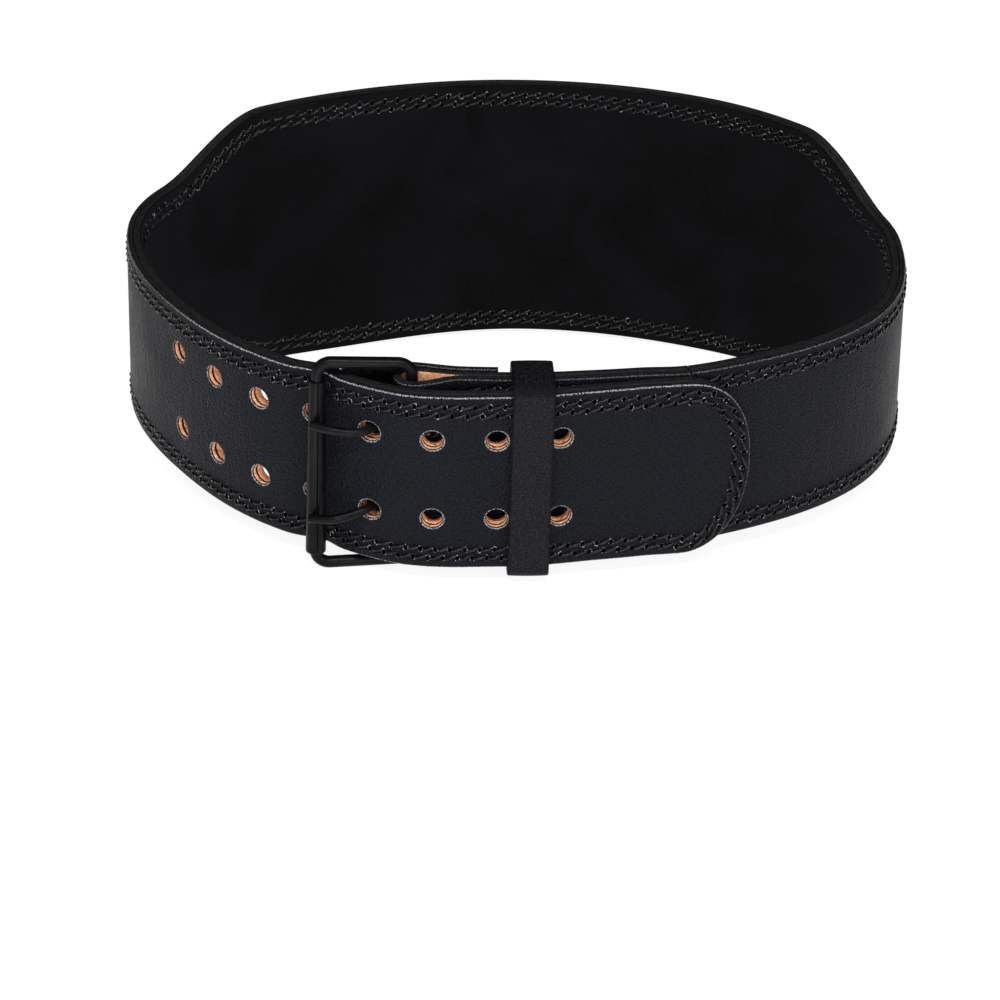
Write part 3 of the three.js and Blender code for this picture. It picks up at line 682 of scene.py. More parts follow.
# %% Painted wire
def paint_finish(name):
    material, tree, shader = new_finish(name, metallic=0.0, specular_ior_level=0.08,
                                        coat_weight=0.03, coat_roughness=0.35)
    place = add(tree, "ShaderNodeTexCoord").outputs["Object"]
    peel = add(tree, "ShaderNodeTexNoise", {"Vector": place, "Scale": 620.0, "Detail": 2.0}).outputs["Fac"]
    wear = add(tree, "ShaderNodeTexNoise", {"Vector": place, "Scale": 120.0, "Detail": 6.0}).outputs["Fac"]
    colour = mixed(tree, ramp(tree, wear, 0.45, 0.75), (0.0028, 0.0029, 0.0034), (0.0065, 0.0065, 0.0075))
    tree.links.new(colour, shader.inputs["Base Color"])
    tree.links.new(ramp(tree, wear, 0.3, 0.7, 0.25, 0.34), shader.inputs["Roughness"])
    bumped(tree, shader, peel, 0.35, 0.00018)
    return material


painted = paint_finish("satin_paint")
print("made", painted.name)

# %% [markdown]
# ## The strap's two layers
# The outer layer carries the grain and the lining carries the suede. Both are cut to the same outline:
# straight in front, wide at the back, and rounded at the tip of the tongue. Both are punched together.

# %% Outline and holes of the strap
def strap_outline():
    arcs = np.arange(strap_start, strap_end - tip_length, 1.5)
    top = np.column_stack((arcs, half_height(arcs)))
    turn = np.linspace(np.pi / 2, -np.pi / 2, 161)
    power = 2 / tip_roundness
    x = strap_end - tip_length + tip_length * np.cos(turn) ** power
    y = strap_height / 2 * np.sign(np.sin(turn)) * np.abs(np.sin(turn)) ** power
    return np.vstack((top, np.column_stack((x, y)), (top * (1, -1))[::-1]))


hole_heights = [hole_row_rise + hole_row_spacing / 2, hole_row_rise - hole_row_spacing / 2]
strap_holes = []
for k in range(-holes_before_prong, holes_after_prong + 1):
    for height in hole_heights:
        strap_holes.append((around + prong_hole_at + k * hole_pitch, height, hole_radius, 0))

insets = [0, 0.12, 0.4, 0.8, 1.3, 2.6, 3.7, 4.8, 5.9, 7.1, 8.4, 9.6, 10.9, 12.2, 13.8]
grows = [0, 0.12, 0.4, 0.8, 1.3, 2.6]
shift_begins, shift_is_full = strap_end - 44, strap_end - 24
strap_pattern = Pattern(strap_outline(), strap_holes, insets, grows, 4.5, stitch_pitch,
                        lambda arc: smoothstep(arc, shift_begins, shift_is_full))
print("strap pattern has", len(strap_pattern.flat), "points and", len(strap_holes), "holes")

# %% Bend the two layers into place
leather_outer = leather_piece("leather_outer", strap_pattern, strap_place, 0, outer_thickness,
                              stitch_rows, 1.3, 0.3, 1.0, [grain, cut_edge, cut_edge, raw])
leather_lining = leather_piece("leather_lining", strap_pattern, strap_place,
                               outer_thickness + layer_gap, strap_thickness,
                               stitch_rows, 0.4, 1.2, 0.3, [cut_edge, suede, cut_edge, raw])

# %% [markdown]
# ## The fold that holds the buckle
# The buckle end is one strip, folded round the bar and sewn to itself. It opens into a small pocket round
# the bar, where its undyed flesh side shows, and two slots let the prongs' eyes through.

# %% Bend the fold round the bar
leg_steps, bend_steps = 90, 33
fold_chamfer, pocket_margin, dyed_rim = 0.7, 2, 0.5


def bar_place():
    point, out, _ = on_loop(bar_at)
    return point[0] + out[0] * bar_stand_off, out[0], np.array([-out[0][1], out[0][0]])


def leg_stand_off(reach, side):
    """Stand-off of the middle of one leg at a reach from the bar: flat, but swollen at the bar."""
    swollen = bar_stand_off + side * (fold_inner_radius + leg_thickness / 2)
    flat = through_knots(buckle_end_knots, bar_at + reach) - leg_thickness / 2
    flat = flat - (0 if side > 0 else leg_thickness + layer_gap)
    return swollen + (flat - swollen) * smoothstep(reach, 0, pocket_length)


def fold_line():
    middle_radius = fold_inner_radius + leg_thickness / 2
    reach = (seam_from_bar - fit_gap / 2) * (np.arange(1, leg_steps + 1) / leg_steps) ** 1.3
    outer_leg = standing_off(bar_at + reach, leg_stand_off(reach, 1))
    inner_leg = standing_off(bar_at + reach, leg_stand_off(reach, -1))
    bar, out, along = bar_place()
    turn = np.linspace(0, np.pi, bend_steps)[:, None]
    bend = bar + middle_radius * (np.cos(turn) * out - np.sin(turn) * along)
    return np.vstack((outer_leg[::-1], bend, inner_leg))[::-1]


line = fold_line()
line_s = np.concatenate(([0], np.cumsum(np.linalg.norm(np.diff(line, axis=0), axis=1))))
line_along = np.gradient(line, line_s, axis=0)
line_along /= np.linalg.norm(line_along, axis=1)[:, None]


def fold_place(flat, depth):
    xy = np.column_stack([np.interp(flat[:, 0], line_s, line[:, k]) for k in (0, 1)])
    along = np.column_stack([np.interp(flat[:, 0], line_s, line_along[:, k]) for k in (0, 1)])
    along /= np.linalg.norm(along, axis=1)[:, None]
    out = np.column_stack((along[:, 1], -along[:, 0]))
    return np.column_stack((xy + out * (leg_thickness / 2 - depth)[:, None], flat[:, 1]))


prong_heights = []
for row, spread in enumerate((upper_prong_rise, -lower_prong_fall)):
    hole = hole_heights[row] - float(drop_at(around + prong_hole_at))
    prong_heights.append((hole, hole - 0.35 * spread, hole + spread))

bar_in_line = line_s[leg_steps + bend_steps // 2]
slot_reach = (fold_inner_radius + leg_thickness / 2) * np.pi / 2 + fold_outer_radius + prong_diameter
slots = [(bar_in_line, eye, prong_slot / 2, slot_reach - prong_slot / 2) for _, eye, _ in prong_heights]
length, half, cut = line_s[-1], strap_height / 2, fold_chamfer
fold_outline = np.array([(0, half), (length - cut, half), (length, half - cut),
                         (length, cut - half), (length - cut, -half), (0, -half)])
fold_pattern = Pattern(fold_outline, slots, insets[:4] + insets[5:], [0, 0.2, 0.6, 1.4], 3.2, stitch_pitch)
fold_grain = grain_finish("grain_leather_fold", stitch_rows)


def beyond_pocket(flat, inset):
    from_bar = np.abs(flat[:, 0] - bar_in_line) - (fold_inner_radius + leg_thickness / 2) * np.pi / 2
    return (from_bar > pocket_length + pocket_margin) | (inset < dyed_rim)


leather_fold = leather_piece("leather_fold", fold_pattern, fold_place, 0, leg_thickness, stitch_rows,
                             0.9, 0.5, 0.5, [fold_grain, raw, cut_edge, cut_edge], beyond_pocket)

# %% [markdown]
# ## The guard under the buckle
# A plain strip is sewn to the waist side of the buckle end and reaches in under the buckle, so the metal
# never rubs the wearer. It is cut with two round corners and bent to lie along the fold.

# %% Lay the guard
def guard_place(flat, depth):
    reach = -flat[:, 0]
    rise = guard_rise * smoothstep(-reach, 0, guard_past_bar)
    on_leg = leg_stand_off(np.maximum(reach, 0), -1) - leg_thickness / 2 - fit_gap
    plan = standing_off(bar_at + reach, on_leg + rise - guard_thickness + depth)
    return np.column_stack((plan, flat[:, 1]))


turn = np.linspace(np.pi / 2, 0, 12)
round_x = guard_past_bar - guard_corner + guard_corner * np.cos(turn)
round_y = guard_height / 2 - guard_corner + guard_corner * np.sin(turn)
upper_edge = np.column_stack((np.append(-guard_behind_bar, round_x), np.append(guard_height / 2, round_y)))
guard_pattern = Pattern(np.vstack((upper_edge, (upper_edge * (1, -1))[::-1])), [], insets[:5] + [2.6],
                        [0], 4, stitch_pitch)
leather_guard = leather_piece("leather_guard", guard_pattern, guard_place, 0, guard_thickness, (),
                              0.5, 0.9, 0, [suede, fold_grain, cut_edge, raw])

# %% [markdown]
# ## Keeper loop
# The keeper is a narrow band of thick leather, closed into a ring round both layers of strap. It could be
# an extruded ring, but a real one is slightly domed across its width and its edges are worn round, so its
# cross-section is drawn first and then carried round the ring.

# %% Carry the keeper's section round
def keeper_ring():
    point, out, _ = on_loop(keeper_at)
    point, out = point[0], out[0]
    along = np.array([-out[1], out[0]])
    reaches = keeper_at + np.array([-0.5, 0, 0.5]) * keeper_width
    outer = (standing_off(reaches, through_knots(tongue_knots, reaches)) - point) @ out
    inner_off = through_knots(buckle_end_knots, reaches) - strap_thickness
    inner = (standing_off(reaches, inner_off) - point) @ out
    x0, x1 = inner.min() - keeper_fit, outer.max() + keeper_fit
    y0, y1 = -strap_height / 2 - tongue_drop - keeper_below, strap_height / 2 + keeper_above
    corners = [(x1, y0, -90), (x1, y1, 0), (x0, y1, 90), (x0, y0, 180)]
    inside_line, outside_line = [], []
    for k, (x, y, turn) in enumerate(corners):
        nx, ny, _ = corners[(k + 1) % 4]
        sx, sy = np.sign(x - (x0 + x1) / 2), np.sign(y - (y0 + y1) / 2)
        for step in np.radians(turn + np.linspace(0, 90, 9)):
            ray = np.array([math.cos(step), math.sin(step)])
            inside_line.append(np.array([x - sx * fit_gap, y - sy * fit_gap]) + fit_gap * ray)
            inset = keeper_wall - keeper_corner
            centre = np.array([x + sx * inset, y + sy * inset])
            outside_line.append(centre + keeper_corner * ray)
        pieces = 24 if k in (0, 2) else 5
        for share in np.arange(1, pieces) / pieces:
            for row, grow, round_off in ((inside_line, 0, fit_gap),
                                         (outside_line, keeper_wall, keeper_corner)):
                a = np.array([x + sx * grow, y + sy * grow])
                nsx, nsy = np.sign(nx - (x0 + x1) / 2), np.sign(ny - (y0 + y1) / 2)
                b = np.array([nx + nsx * grow, ny + nsy * grow])
                way = (b - a) / np.linalg.norm(b - a)
                a, b = a + way * round_off, b - way * round_off
                row.append(a + (b - a) * share)
    return np.array(inside_line), np.array(outside_line), point, out, along


inner_line, outer_line, keeper_point, keeper_out, keeper_along = keeper_ring()
w, wall = keeper_width / 2, keeper_wall
inner_round, outer_round, dome_rise, uv_step = 0.5, 1.0, 0.35, 1.6
section = []
for cx, cy, radius, turn in ((w - inner_round, inner_round, inner_round, -90),
                             (w - outer_round, wall - outer_round, outer_round, 0),
                             (-w + outer_round, wall - outer_round, outer_round, 90),
                             (-w + inner_round, inner_round, inner_round, 180)):
    for step in np.radians(turn + np.linspace(0, 90, 6)):
        section.append((cx + radius * math.cos(step), cy + radius * math.sin(step)))
    if turn == 0:
        section += [(x, wall) for x in np.linspace(w - outer_round, outer_round - w, 9)[1:-1]]
section = np.array(section)
dome = np.where(section[:, 1] > wall - 1.2, dome_rise * (1 - (section[:, 0] / w) ** 2), 0)
points, faces, uv = [], [], []
lengths = np.concatenate(([0], np.cumsum(np.linalg.norm(np.diff(outer_line, axis=0), axis=1))))
for inner_point, outer_point in zip(inner_line, outer_line):
    share = (section[:, 1] + dome)[:, None] / wall
    xy = inner_point + (outer_point - inner_point) * share
    turn = math.radians(keeper_turn)
    up = xy[:, 1] * math.cos(turn) + section[:, 0] * math.sin(turn)
    side = -xy[:, 1] * math.sin(turn) + section[:, 0] * math.cos(turn)
    plan = keeper_point + xy[:, :1] * keeper_out - side[:, None] * keeper_along
    points.append(np.column_stack((plan, up)))
n, m = len(inner_line), len(section)
for i in range(n):
    j = (i + 1) % n
    for a in range(m):
        b = (a + 1) % m
        faces.append((i * m + a, j * m + a, j * m + b, i * m + b))
        s0, s1 = lengths[i], lengths[i] + 4
        v0, v1 = a * uv_step, a * uv_step + uv_step
        uv += [(s0, v0), (s1, v0), (s1, v1), (s0, v1)]
keeper_grain = grain_finish("grain_leather_keeper", (), (0.0060, 0.0056, 0.0068), 0.4)
keeper_band = new_mesh("keeper_band", to_room(np.vstack(points)), faces, [keeper_grain],
                       uv=np.array(uv) / 1000)
print("keeper ring has", len(faces), "faces")

# %% [markdown]
# ## Buckle wire, roller and prongs
# All three are round stock that follows a line. A tube is a circle carried along the line without twist.
# Its line comes first, so the bends at the corners stay as round as the bender would leave them.

# %% Helper for round stock
def tube(line, radii, sides, closed, up):
    """Points and faces of a circle carried along a line. Radii is one number for each point."""
    line = np.asarray(line, float)
    radii = np.broadcast_to(radii, len(line))
    if closed:
        along = np.roll(line, -1, 0) - np.roll(line, 1, 0)
    else:
        along = np.gradient(line, axis=0)
    along /= np.linalg.norm(along, axis=1)[:, None]
    across = np.cross(along, up)
    across /= np.linalg.norm(across, axis=1)[:, None]
    normal = np.cross(across, along)
    turn = 2 * np.pi * np.arange(sides) / sides
    circle = across[:, None] * np.cos(turn)[None, :, None] + normal[:, None] * np.sin(turn)[None, :, None]
    points = (line[:, None] + circle * radii[:, None, None]).reshape(-1, 3)
    faces = []
    count = len(line)
    for i in range(count if closed else count - 1):
        j = (i + 1) % count
        for a in range(sides):
            b = (a + 1) % sides
            faces.append((i * sides + a, i * sides + b, j * sides + b, j * sides + a))
    if not closed:
        faces.append(tuple(reversed(range(sides))))
        faces.append(tuple(range((count - 1) * sides, count * sides)))
    return points, faces


# %% Bend the buckle's wire
def frame_corners():
    half_frame = (frame_height - wire_diameter) / 2
    bar, _, _ = bar_place()
    top = standing_off(roller_at, roller_stand_off)[0]
    bottom = standing_off(roller_at, roller_stand_off + frame_lean)[0]
    return np.array([(*bar, half_frame), (*top, half_frame),
                     (*bottom, -half_frame - frame_sag), (*bar, -half_frame)])


def rounded_loop(corners, radius):
    line = []
    for k, corner in enumerate(corners):
        into = corner - corners[k - 1]
        out_of = corners[(k + 1) % len(corners)] - corner
        reach = np.linalg.norm(out_of)
        into, out_of = into / np.linalg.norm(into), out_of / reach
        bend = math.acos(np.clip(into @ out_of, -1, 1))
        inwards = out_of - into * (into @ out_of)
        inwards /= np.linalg.norm(inwards)
        centre = corner - into * radius * math.tan(bend / 2) + inwards * radius
        for step in np.linspace(0, bend, 13):
            line.append(centre + radius * (into * math.sin(step) - inwards * math.cos(step)))
        cut = radius * math.tan(bend / 2)
        for share in np.linspace(0, 1, max(3, int(reach / 6)))[1:-1]:
            line.append(corner + out_of * (cut + share * (reach - 2 * cut)))
    return line


corners = frame_corners()
plane = np.cross(corners[1] - corners[0], corners[3] - corners[0])
plane = plane / np.linalg.norm(plane)
points, faces = tube(rounded_loop(corners, corner_radius), wire_radius, 20, True, plane)
buckle_wire = new_mesh("buckle_wire", to_room(points), faces, [painted])
print("buckle wire has", len(faces), "faces")

# %% [markdown]
# The roller is a sheet rolled into a tube until its edges nearly meet, and that seam faces forward.
# So its section is an open ring with rounded ends, and the ends of the tube are turned over a little.

# %% Roll the roller
def roller_side(height):
    top, bottom = corners[1], corners[2]
    down = (top[2] - height) / (top[2] - bottom[2])
    down_roller = (roller_length / 2 - roller_drop - height) / roller_length
    radius = (roller_top + (roller_bottom - roller_top) * down_roller) / 2
    return top + (bottom - top) * down, roller_stand_off + frame_lean * down, radius


top_point, _, top_radius = roller_side(roller_length / 2 - roller_drop)
low_point, _, low_radius = roller_side(-roller_length / 2 - roller_drop)
axis = (top_point - low_point) / np.linalg.norm(top_point - low_point)
centre = (top_point + low_point) / 2
seam_side, seam_gap = math.radians(-78), 0.05
end_round, edge_round = 0.5, 0.12
turns = np.linspace(seam_gap, 2 * np.pi - seam_gap, 65)
ends = [0, 0.08, 0.25, 0.5]
levels = ends + list(np.linspace(3, roller_length - 3, 15)) + [roller_length - k for k in reversed(ends)]
points, faces = [], []
for level in levels:
    radius = low_radius + (top_radius - low_radius) * level / roller_length
    near_end = min(level, roller_length - level)
    tuck = float(rolled(near_end, end_round)) * 0.7
    ring_points = []
    for off, row in ((-tuck, turns), (tuck * 0.4 - roller_wall, turns[::-1])):
        for k, turn in enumerate(row):
            edge = edge_round if k in (0, len(row) - 1) else 0
            r = radius + off - edge * (1 if off > -roller_wall / 2 else -1)
            ring_points.append((math.cos(turn + seam_side) * r, math.sin(turn + seam_side) * r))
    side_x = np.cross((0, 1, 0), axis)
    side_x /= np.linalg.norm(side_x)
    side_y = np.cross(axis, side_x)
    base = centre + axis * (level - roller_length / 2)
    points += [base + side_x * x + side_y * y for x, y in ring_points]
size = 2 * len(turns)
for i in range(len(levels) - 1):
    for a in range(size):
        b = (a + 1) % size
        faces.append((i * size + a, i * size + b, (i + 1) * size + b, (i + 1) * size + a))
last = (len(levels) - 1) * size
for a in range(len(turns) - 1):
    faces.append((a + 1, a, size - 1 - a, size - 2 - a))
    faces.append((last + a, last + a + 1, last + size - 2 - a, last + size - 1 - a))
roller_tube = new_mesh("roller_tube", to_room(points), faces, [painted])
print("roller has", len(faces), "faces")

# %% [markdown]
# A prong is wire too: an eye closed round the bar and a shank that comes up through its hole, bends over
# and lies on the roller. Its end is cut and tumbled, so it is blunt with a rounded rim.

# %% Bend the prongs
def centripetal(knots, count):
    """Smooth line through points, evenly sampled in its own parameter."""
    knots = np.asarray(knots, float)
    padded = np.vstack((2 * knots[0] - knots[1], knots, 2 * knots[-1] - knots[-2]))
    line = []
    for u in np.linspace(0, len(knots) - 1, count):
        i = min(int(u), len(knots) - 2)
        t = u - i
        p = padded[i : i + 4]
        d = np.maximum(np.linalg.norm(np.diff(p, axis=0), axis=1) ** 0.5, 1e-4)
        m1 = d[1] * ((p[1] - p[0]) / d[0] - (p[2] - p[0]) / (d[0] + d[1]) + (p[2] - p[1]) / d[1])
        m2 = d[1] * ((p[2] - p[1]) / d[1] - (p[3] - p[1]) / (d[1] + d[2]) + (p[3] - p[2]) / d[2])
        a = 2 * (p[1] - p[2]) + m1 + m2
        b = 3 * (p[2] - p[1]) - 2 * m1 - m2
        line.append(p[1] + t * (m1 + t * (b + t * a)))
    return np.array(line)


def prong(name, hole, eye, tip):
    eye_radius = wire_radius + fit_gap + 0.1 + prong_radius
    _, stand_off, radius = roller_side(tip)
    over = stand_off + radius + fit_gap + 0.05 + prong_radius
    bar, out, along = bar_place()
    turn = 2 * np.pi * np.arange(40) / 40
    eye_line = [(*(bar + eye_radius * (math.cos(t) * out + math.sin(t) * along)), eye) for t in turn]
    points, faces = tube(eye_line, prong_radius, 16, True, (0, 0, 1))
    start = bar - along * 0.76 * eye_radius + out * 0.64 * eye_radius
    tongue = float(through_knots(tongue_knots, prong_hole_at))

    def at(arc, off, height):
        return (*standing_off(arc, off)[0], height)

    def between(a, b, share):
        return a + (b - a) * share

    # Each point has its distance round the belt, its stand-off and its height, from the eye to the tip.
    route = [
        (*start, eye),
        at(prong_hole_at + 8.2, tongue - 1.24 * strap_thickness, between(eye, hole, 0.5)),
        at(prong_hole_at + 3.9, tongue - 1.07 * strap_thickness, between(eye, hole, 0.8)),
        at(prong_hole_at + 0.9, tongue - 0.6 * strap_thickness, hole),
        at(prong_hole_at - 2.1, tongue, between(hole, tip, 0.06)),
        at(prong_hole_at - 6.1, tongue + 0.42 * strap_thickness, between(hole, tip, 0.2)),
        at(roller_at + 12, over + 0.3, between(hole, tip, 0.56)),
        at(roller_at, over, between(hole, tip, 0.97)),
        at(roller_at, over - 0.1, tip),
    ]
    shank = centripetal(route[:-1], 70)
    way = shank[-1] - shank[-2]
    way /= np.linalg.norm(way)
    blunt = [(0.6, 1.0), (1.1, 0.96), (1.5, 0.86), (1.75, 0.7), (1.88, 0.45)]
    shank = np.vstack((shank, [shank[-1] + way * (reach - 1.6) for reach, _ in blunt][1:]))
    radii = np.concatenate((np.full(70, prong_radius), [prong_radius * share for _, share in blunt][1:]))
    more, more_faces = tube(shank, radii, 16, False, (0, 0, 1))
    faces += [tuple(i + len(points) for i in face) for face in more_faces]
    piece = new_mesh(name, to_room(np.vstack((points, more))), faces, [painted])
    print(name, "has", len(faces), "faces")
    return piece


prong_top = prong("prong_top", *prong_heights[0])
prong_bottom = prong("prong_bottom", *prong_heights[1])

# %% [markdown]
# ## Stitches
# Two rows of waxed thread run all the way round the strap, and each stitch dives into an awl hole at
# both ends. Placing over a thousand threads by hand would be slow, so Geometry Nodes does it: a rail holds
# one point for each stitch, with the directions along and out of the leather, and the tree sets one small
# bowed thread on every point. Its sizes are inputs, so all stitches change together.

# %% One bowed thread
def bowed_thread(tree, given):
    half_length = calc(tree, "MULTIPLY", given["Stitch Length"], 0.5)
    back = calc(tree, "MULTIPLY", half_length, -1.0)
    under = calc(tree, "MULTIPLY", given["Bow"], -1.0)
    first = add(tree, "ShaderNodeCombineXYZ", {"X": back, "Z": under}).outputs[0]
    crown = add(tree, "ShaderNodeCombineXYZ", {"Z": calc(tree, "MULTIPLY", given["Bow"], 2.0)}).outputs[0]
    final = add(tree, "ShaderNodeCombineXYZ", {"X": half_length, "Z": under}).outputs[0]
    bow = add(tree, "GeometryNodeCurveQuadraticBezier",
              {"Resolution": 5, "Start": first, "Middle": crown, "End": final}).outputs["Curve"]
    round_section = add(tree, "GeometryNodeCurvePrimitiveCircle",
                        {"Resolution": 6, "Radius": given["Thread Radius"]}).outputs["Curve"]
    return add(tree, "GeometryNodeCurveToMesh",
               {"Curve": bow, "Profile Curve": round_section, "Fill Caps": True}).outputs["Mesh"]


print("a stitch is a bowed tube with 6 sides")

# %% [markdown]
# An awl leaves a small tall hole with a raised rim. A near-black disc of painted shade stands for the hole
# and a thin ring for the rim, half a pitch past the stitch, and each marks its own faces so that it can get
# its own finish.

# %% One awl hole
rim_share, awl_shape = 0.2, (0.85, 1.2, 1.0)


def marked(tree, shape, mark):
    return add(tree, "GeometryNodeStoreNamedAttribute", {"Geometry": shape, "Name": mark, "Value": True},
               data_type="BOOLEAN", domain="FACE").outputs["Geometry"]


def joined(tree, first, second):
    both = add(tree, "GeometryNodeJoinGeometry")
    tree.links.new(first, both.inputs[0])
    tree.links.new(second, both.inputs[0])
    return both.outputs[0]


def pierced_hole(tree, given):
    rim_line = add(tree, "GeometryNodeCurvePrimitiveCircle",
                   {"Resolution": 8, "Radius": given["Awl Radius"]}).outputs["Curve"]
    rim_radius = calc(tree, "MULTIPLY", given["Awl Radius"], rim_share)
    rim_section = add(tree, "GeometryNodeCurvePrimitiveCircle",
                      {"Resolution": 4, "Radius": rim_radius}).outputs["Curve"]
    rim = add(tree, "GeometryNodeCurveToMesh",
              {"Curve": rim_line, "Profile Curve": rim_section}).outputs["Mesh"]
    disc = add(tree, "GeometryNodeMeshCircle",
               {"Vertices": 8, "Radius": given["Awl Radius"]}, fill_type="NGON").outputs["Mesh"]
    whole = joined(tree, marked(tree, rim, "awl_rim"), marked(tree, disc, "awl_hole"))
    past = calc(tree, "MULTIPLY", given["Pitch"], 0.5)
    spot = add(tree, "ShaderNodeCombineXYZ", {"X": past}).outputs[0]
    return add(tree, "GeometryNodeTransform", {"Geometry": whole, "Translation": spot,
                                               "Scale": awl_shape}).outputs["Geometry"]


print("an awl hole is a disc and a rim with 8 sides")

# %% [markdown]
# The tree sets both shapes on every rail point. It stands them on the leather, turns each stitch by its own
# small random angle, makes the instances real and gives thread, hole and rim their finishes.

# %% Tree that sews
def sewing_tree(name, thread_finish, hole_shade_finish, rim_glint_finish):
    tree = bpy.data.node_groups.new(name, "GeometryNodeTree")
    face = tree.interface
    face.new_socket("Geometry", in_out="INPUT", socket_type="NodeSocketGeometry")
    face.new_socket("Geometry", in_out="OUTPUT", socket_type="NodeSocketGeometry")
    ids = {}
    for label, default in (("Stitch Length", 0.0060), ("Thread Radius", 0.00078), ("Bow", 0.0006),
                           ("Slant", 0.34), ("Unevenness", 0.09), ("Awl Radius", 0.0016),
                           ("Pitch", stitch_pitch / 1000)):
        socket = face.new_socket(label, in_out="INPUT", socket_type="NodeSocketFloat")
        socket.default_value = default
        ids[label] = socket.identifier
    socket = face.new_socket("Seed", in_out="INPUT", socket_type="NodeSocketInt")
    socket.default_value = 7
    ids["Seed"] = socket.identifier
    given = add(tree, "NodeGroupInput").outputs
    out, way = (add(tree, "GeometryNodeInputNamedAttribute", {"Name": key},
                    data_type="FLOAT_VECTOR").outputs[0] for key in ("rail_out", "rail_way"))
    stand = add(tree, "FunctionNodeAxesToRotation", {"Primary Axis": out, "Secondary Axis": way},
                primary_axis="Z", secondary_axis="X").outputs["Rotation"]
    low = calc(tree, "SUBTRACT", given["Slant"], given["Unevenness"])
    high = calc(tree, "ADD", given["Slant"], given["Unevenness"])
    wander = add(tree, "FunctionNodeRandomValue", {"Seed": given["Seed"]}, data_type="FLOAT")
    tree.links.new(low, wander.inputs[2])
    tree.links.new(high, wander.inputs[3])
    turn = add(tree, "ShaderNodeCombineXYZ", {"Z": wander.outputs[1]}).outputs[0]
    slanted = add(tree, "FunctionNodeRotateRotation", {"Rotation": stand, "Rotate By": turn},
                  rotation_space="LOCAL").outputs[0]
    placed = add(tree, "GeometryNodeInstanceOnPoints",
                 {"Points": given["Geometry"], "Instance": bowed_thread(tree, given),
                  "Rotation": slanted}).outputs["Instances"]
    pierced = add(tree, "GeometryNodeInstanceOnPoints",
                  {"Points": given["Geometry"], "Instance": pierced_hole(tree, given),
                   "Rotation": stand}).outputs["Instances"]
    smooth = add(tree, "GeometryNodeSetShadeSmooth", {"Geometry": joined(tree, placed, pierced)}).outputs[0]
    real = add(tree, "GeometryNodeRealizeInstances", {"Geometry": smooth}).outputs["Geometry"]
    dressed = add(tree, "GeometryNodeSetMaterial", {"Geometry": real, "Material": thread_finish}).outputs[0]
    for mark, finish in (("awl_hole", hole_shade_finish), ("awl_rim", rim_glint_finish)):
        is_marked = add(tree, "GeometryNodeInputNamedAttribute", {"Name": mark},
                        data_type="BOOLEAN").outputs[0]
        dressed = add(tree, "GeometryNodeSetMaterial", {"Geometry": dressed, "Selection": is_marked,
                                                        "Material": finish}).outputs[0]
    add(tree, "NodeGroupOutput", {"Geometry": dressed})
    return tree, ids


print("the sewing tree is ready to be built")

# %% [markdown]
# The thread is almost black and shines with wax. The hole is a disc of painted shade, and its rim is dark
# dyed leather with pale flecks of painted glint.

# %% Thread, hole and rim
def thread_material():
    material, tree, shader = new_finish("waxed_thread", roughness=0.2, specular_ior_level=0.22)
    place = add(tree, "ShaderNodeTexCoord").outputs["Object"]
    twist = add(tree, "ShaderNodeTexNoise", {"Vector": place, "Scale": 1500.0, "Detail": 2.0}).outputs["Fac"]
    tone = add(tree, "ShaderNodeTexNoise", {"Vector": place, "Scale": 210.0, "Detail": 2.0}).outputs["Fac"]
    colour = mixed(tree, ramp(tree, tone, 0.4, 0.65), (0.0030, 0.0028, 0.0032), (0.013, 0.0115, 0.013))
    tree.links.new(colour, shader.inputs["Base Color"])
    bumped(tree, shader, twist, 0.7, 0.0003)
    return material


def flecked_material(name, scale, low, high, dark, pale, detail=2.0, **constants):
    material, tree, shader = new_finish(name, **constants)
    place = add(tree, "ShaderNodeTexCoord").outputs["Object"]
    fleck = add(tree, "ShaderNodeTexNoise", {"Vector": place, "Scale": scale,
                                             "Detail": detail}).outputs["Fac"]
    colour = mixed(tree, ramp(tree, fleck, low, high), dark, pale)
    tree.links.new(colour, shader.inputs["Base Color"])
    return material


thread = thread_material()
# Painted shade: the awl hole is a near-black disc standing for the shade inside the hole.
awl_hole = flecked_material("awl_hole", 900.0, 0.0, 1.0, (0.0002, 0.0002, 0.0002), (0.0012, 0.001, 0.001),
                            roughness=1.0, specular_ior_level=0.0)
# Painted glint: pale flecks on the rim stand for light caught by the raised leather.
awl_rim = flecked_material("awl_rim", 780.0, 0.57, 0.68, (0.005, 0.0045, 0.0055), (0.30, 0.29, 0.31),
                           1.0, roughness=0.25, specular_ior_level=0.2)
sew, sew_ids = sewing_tree("sew_a_row", thread, awl_hole, awl_rim)
print("stitch inputs:", list(sew_ids))

# %% [markdown]
# The rails come from the same pattern as the leather, so every stitch starts where the awl marks are.
# Each rail's stitches are turned into a plain mesh, and the modifier goes before the piece is used.

# %% Sew the rows
thread_sink, lining_sink, clear_of_slot = 0.12, 0.05, 14


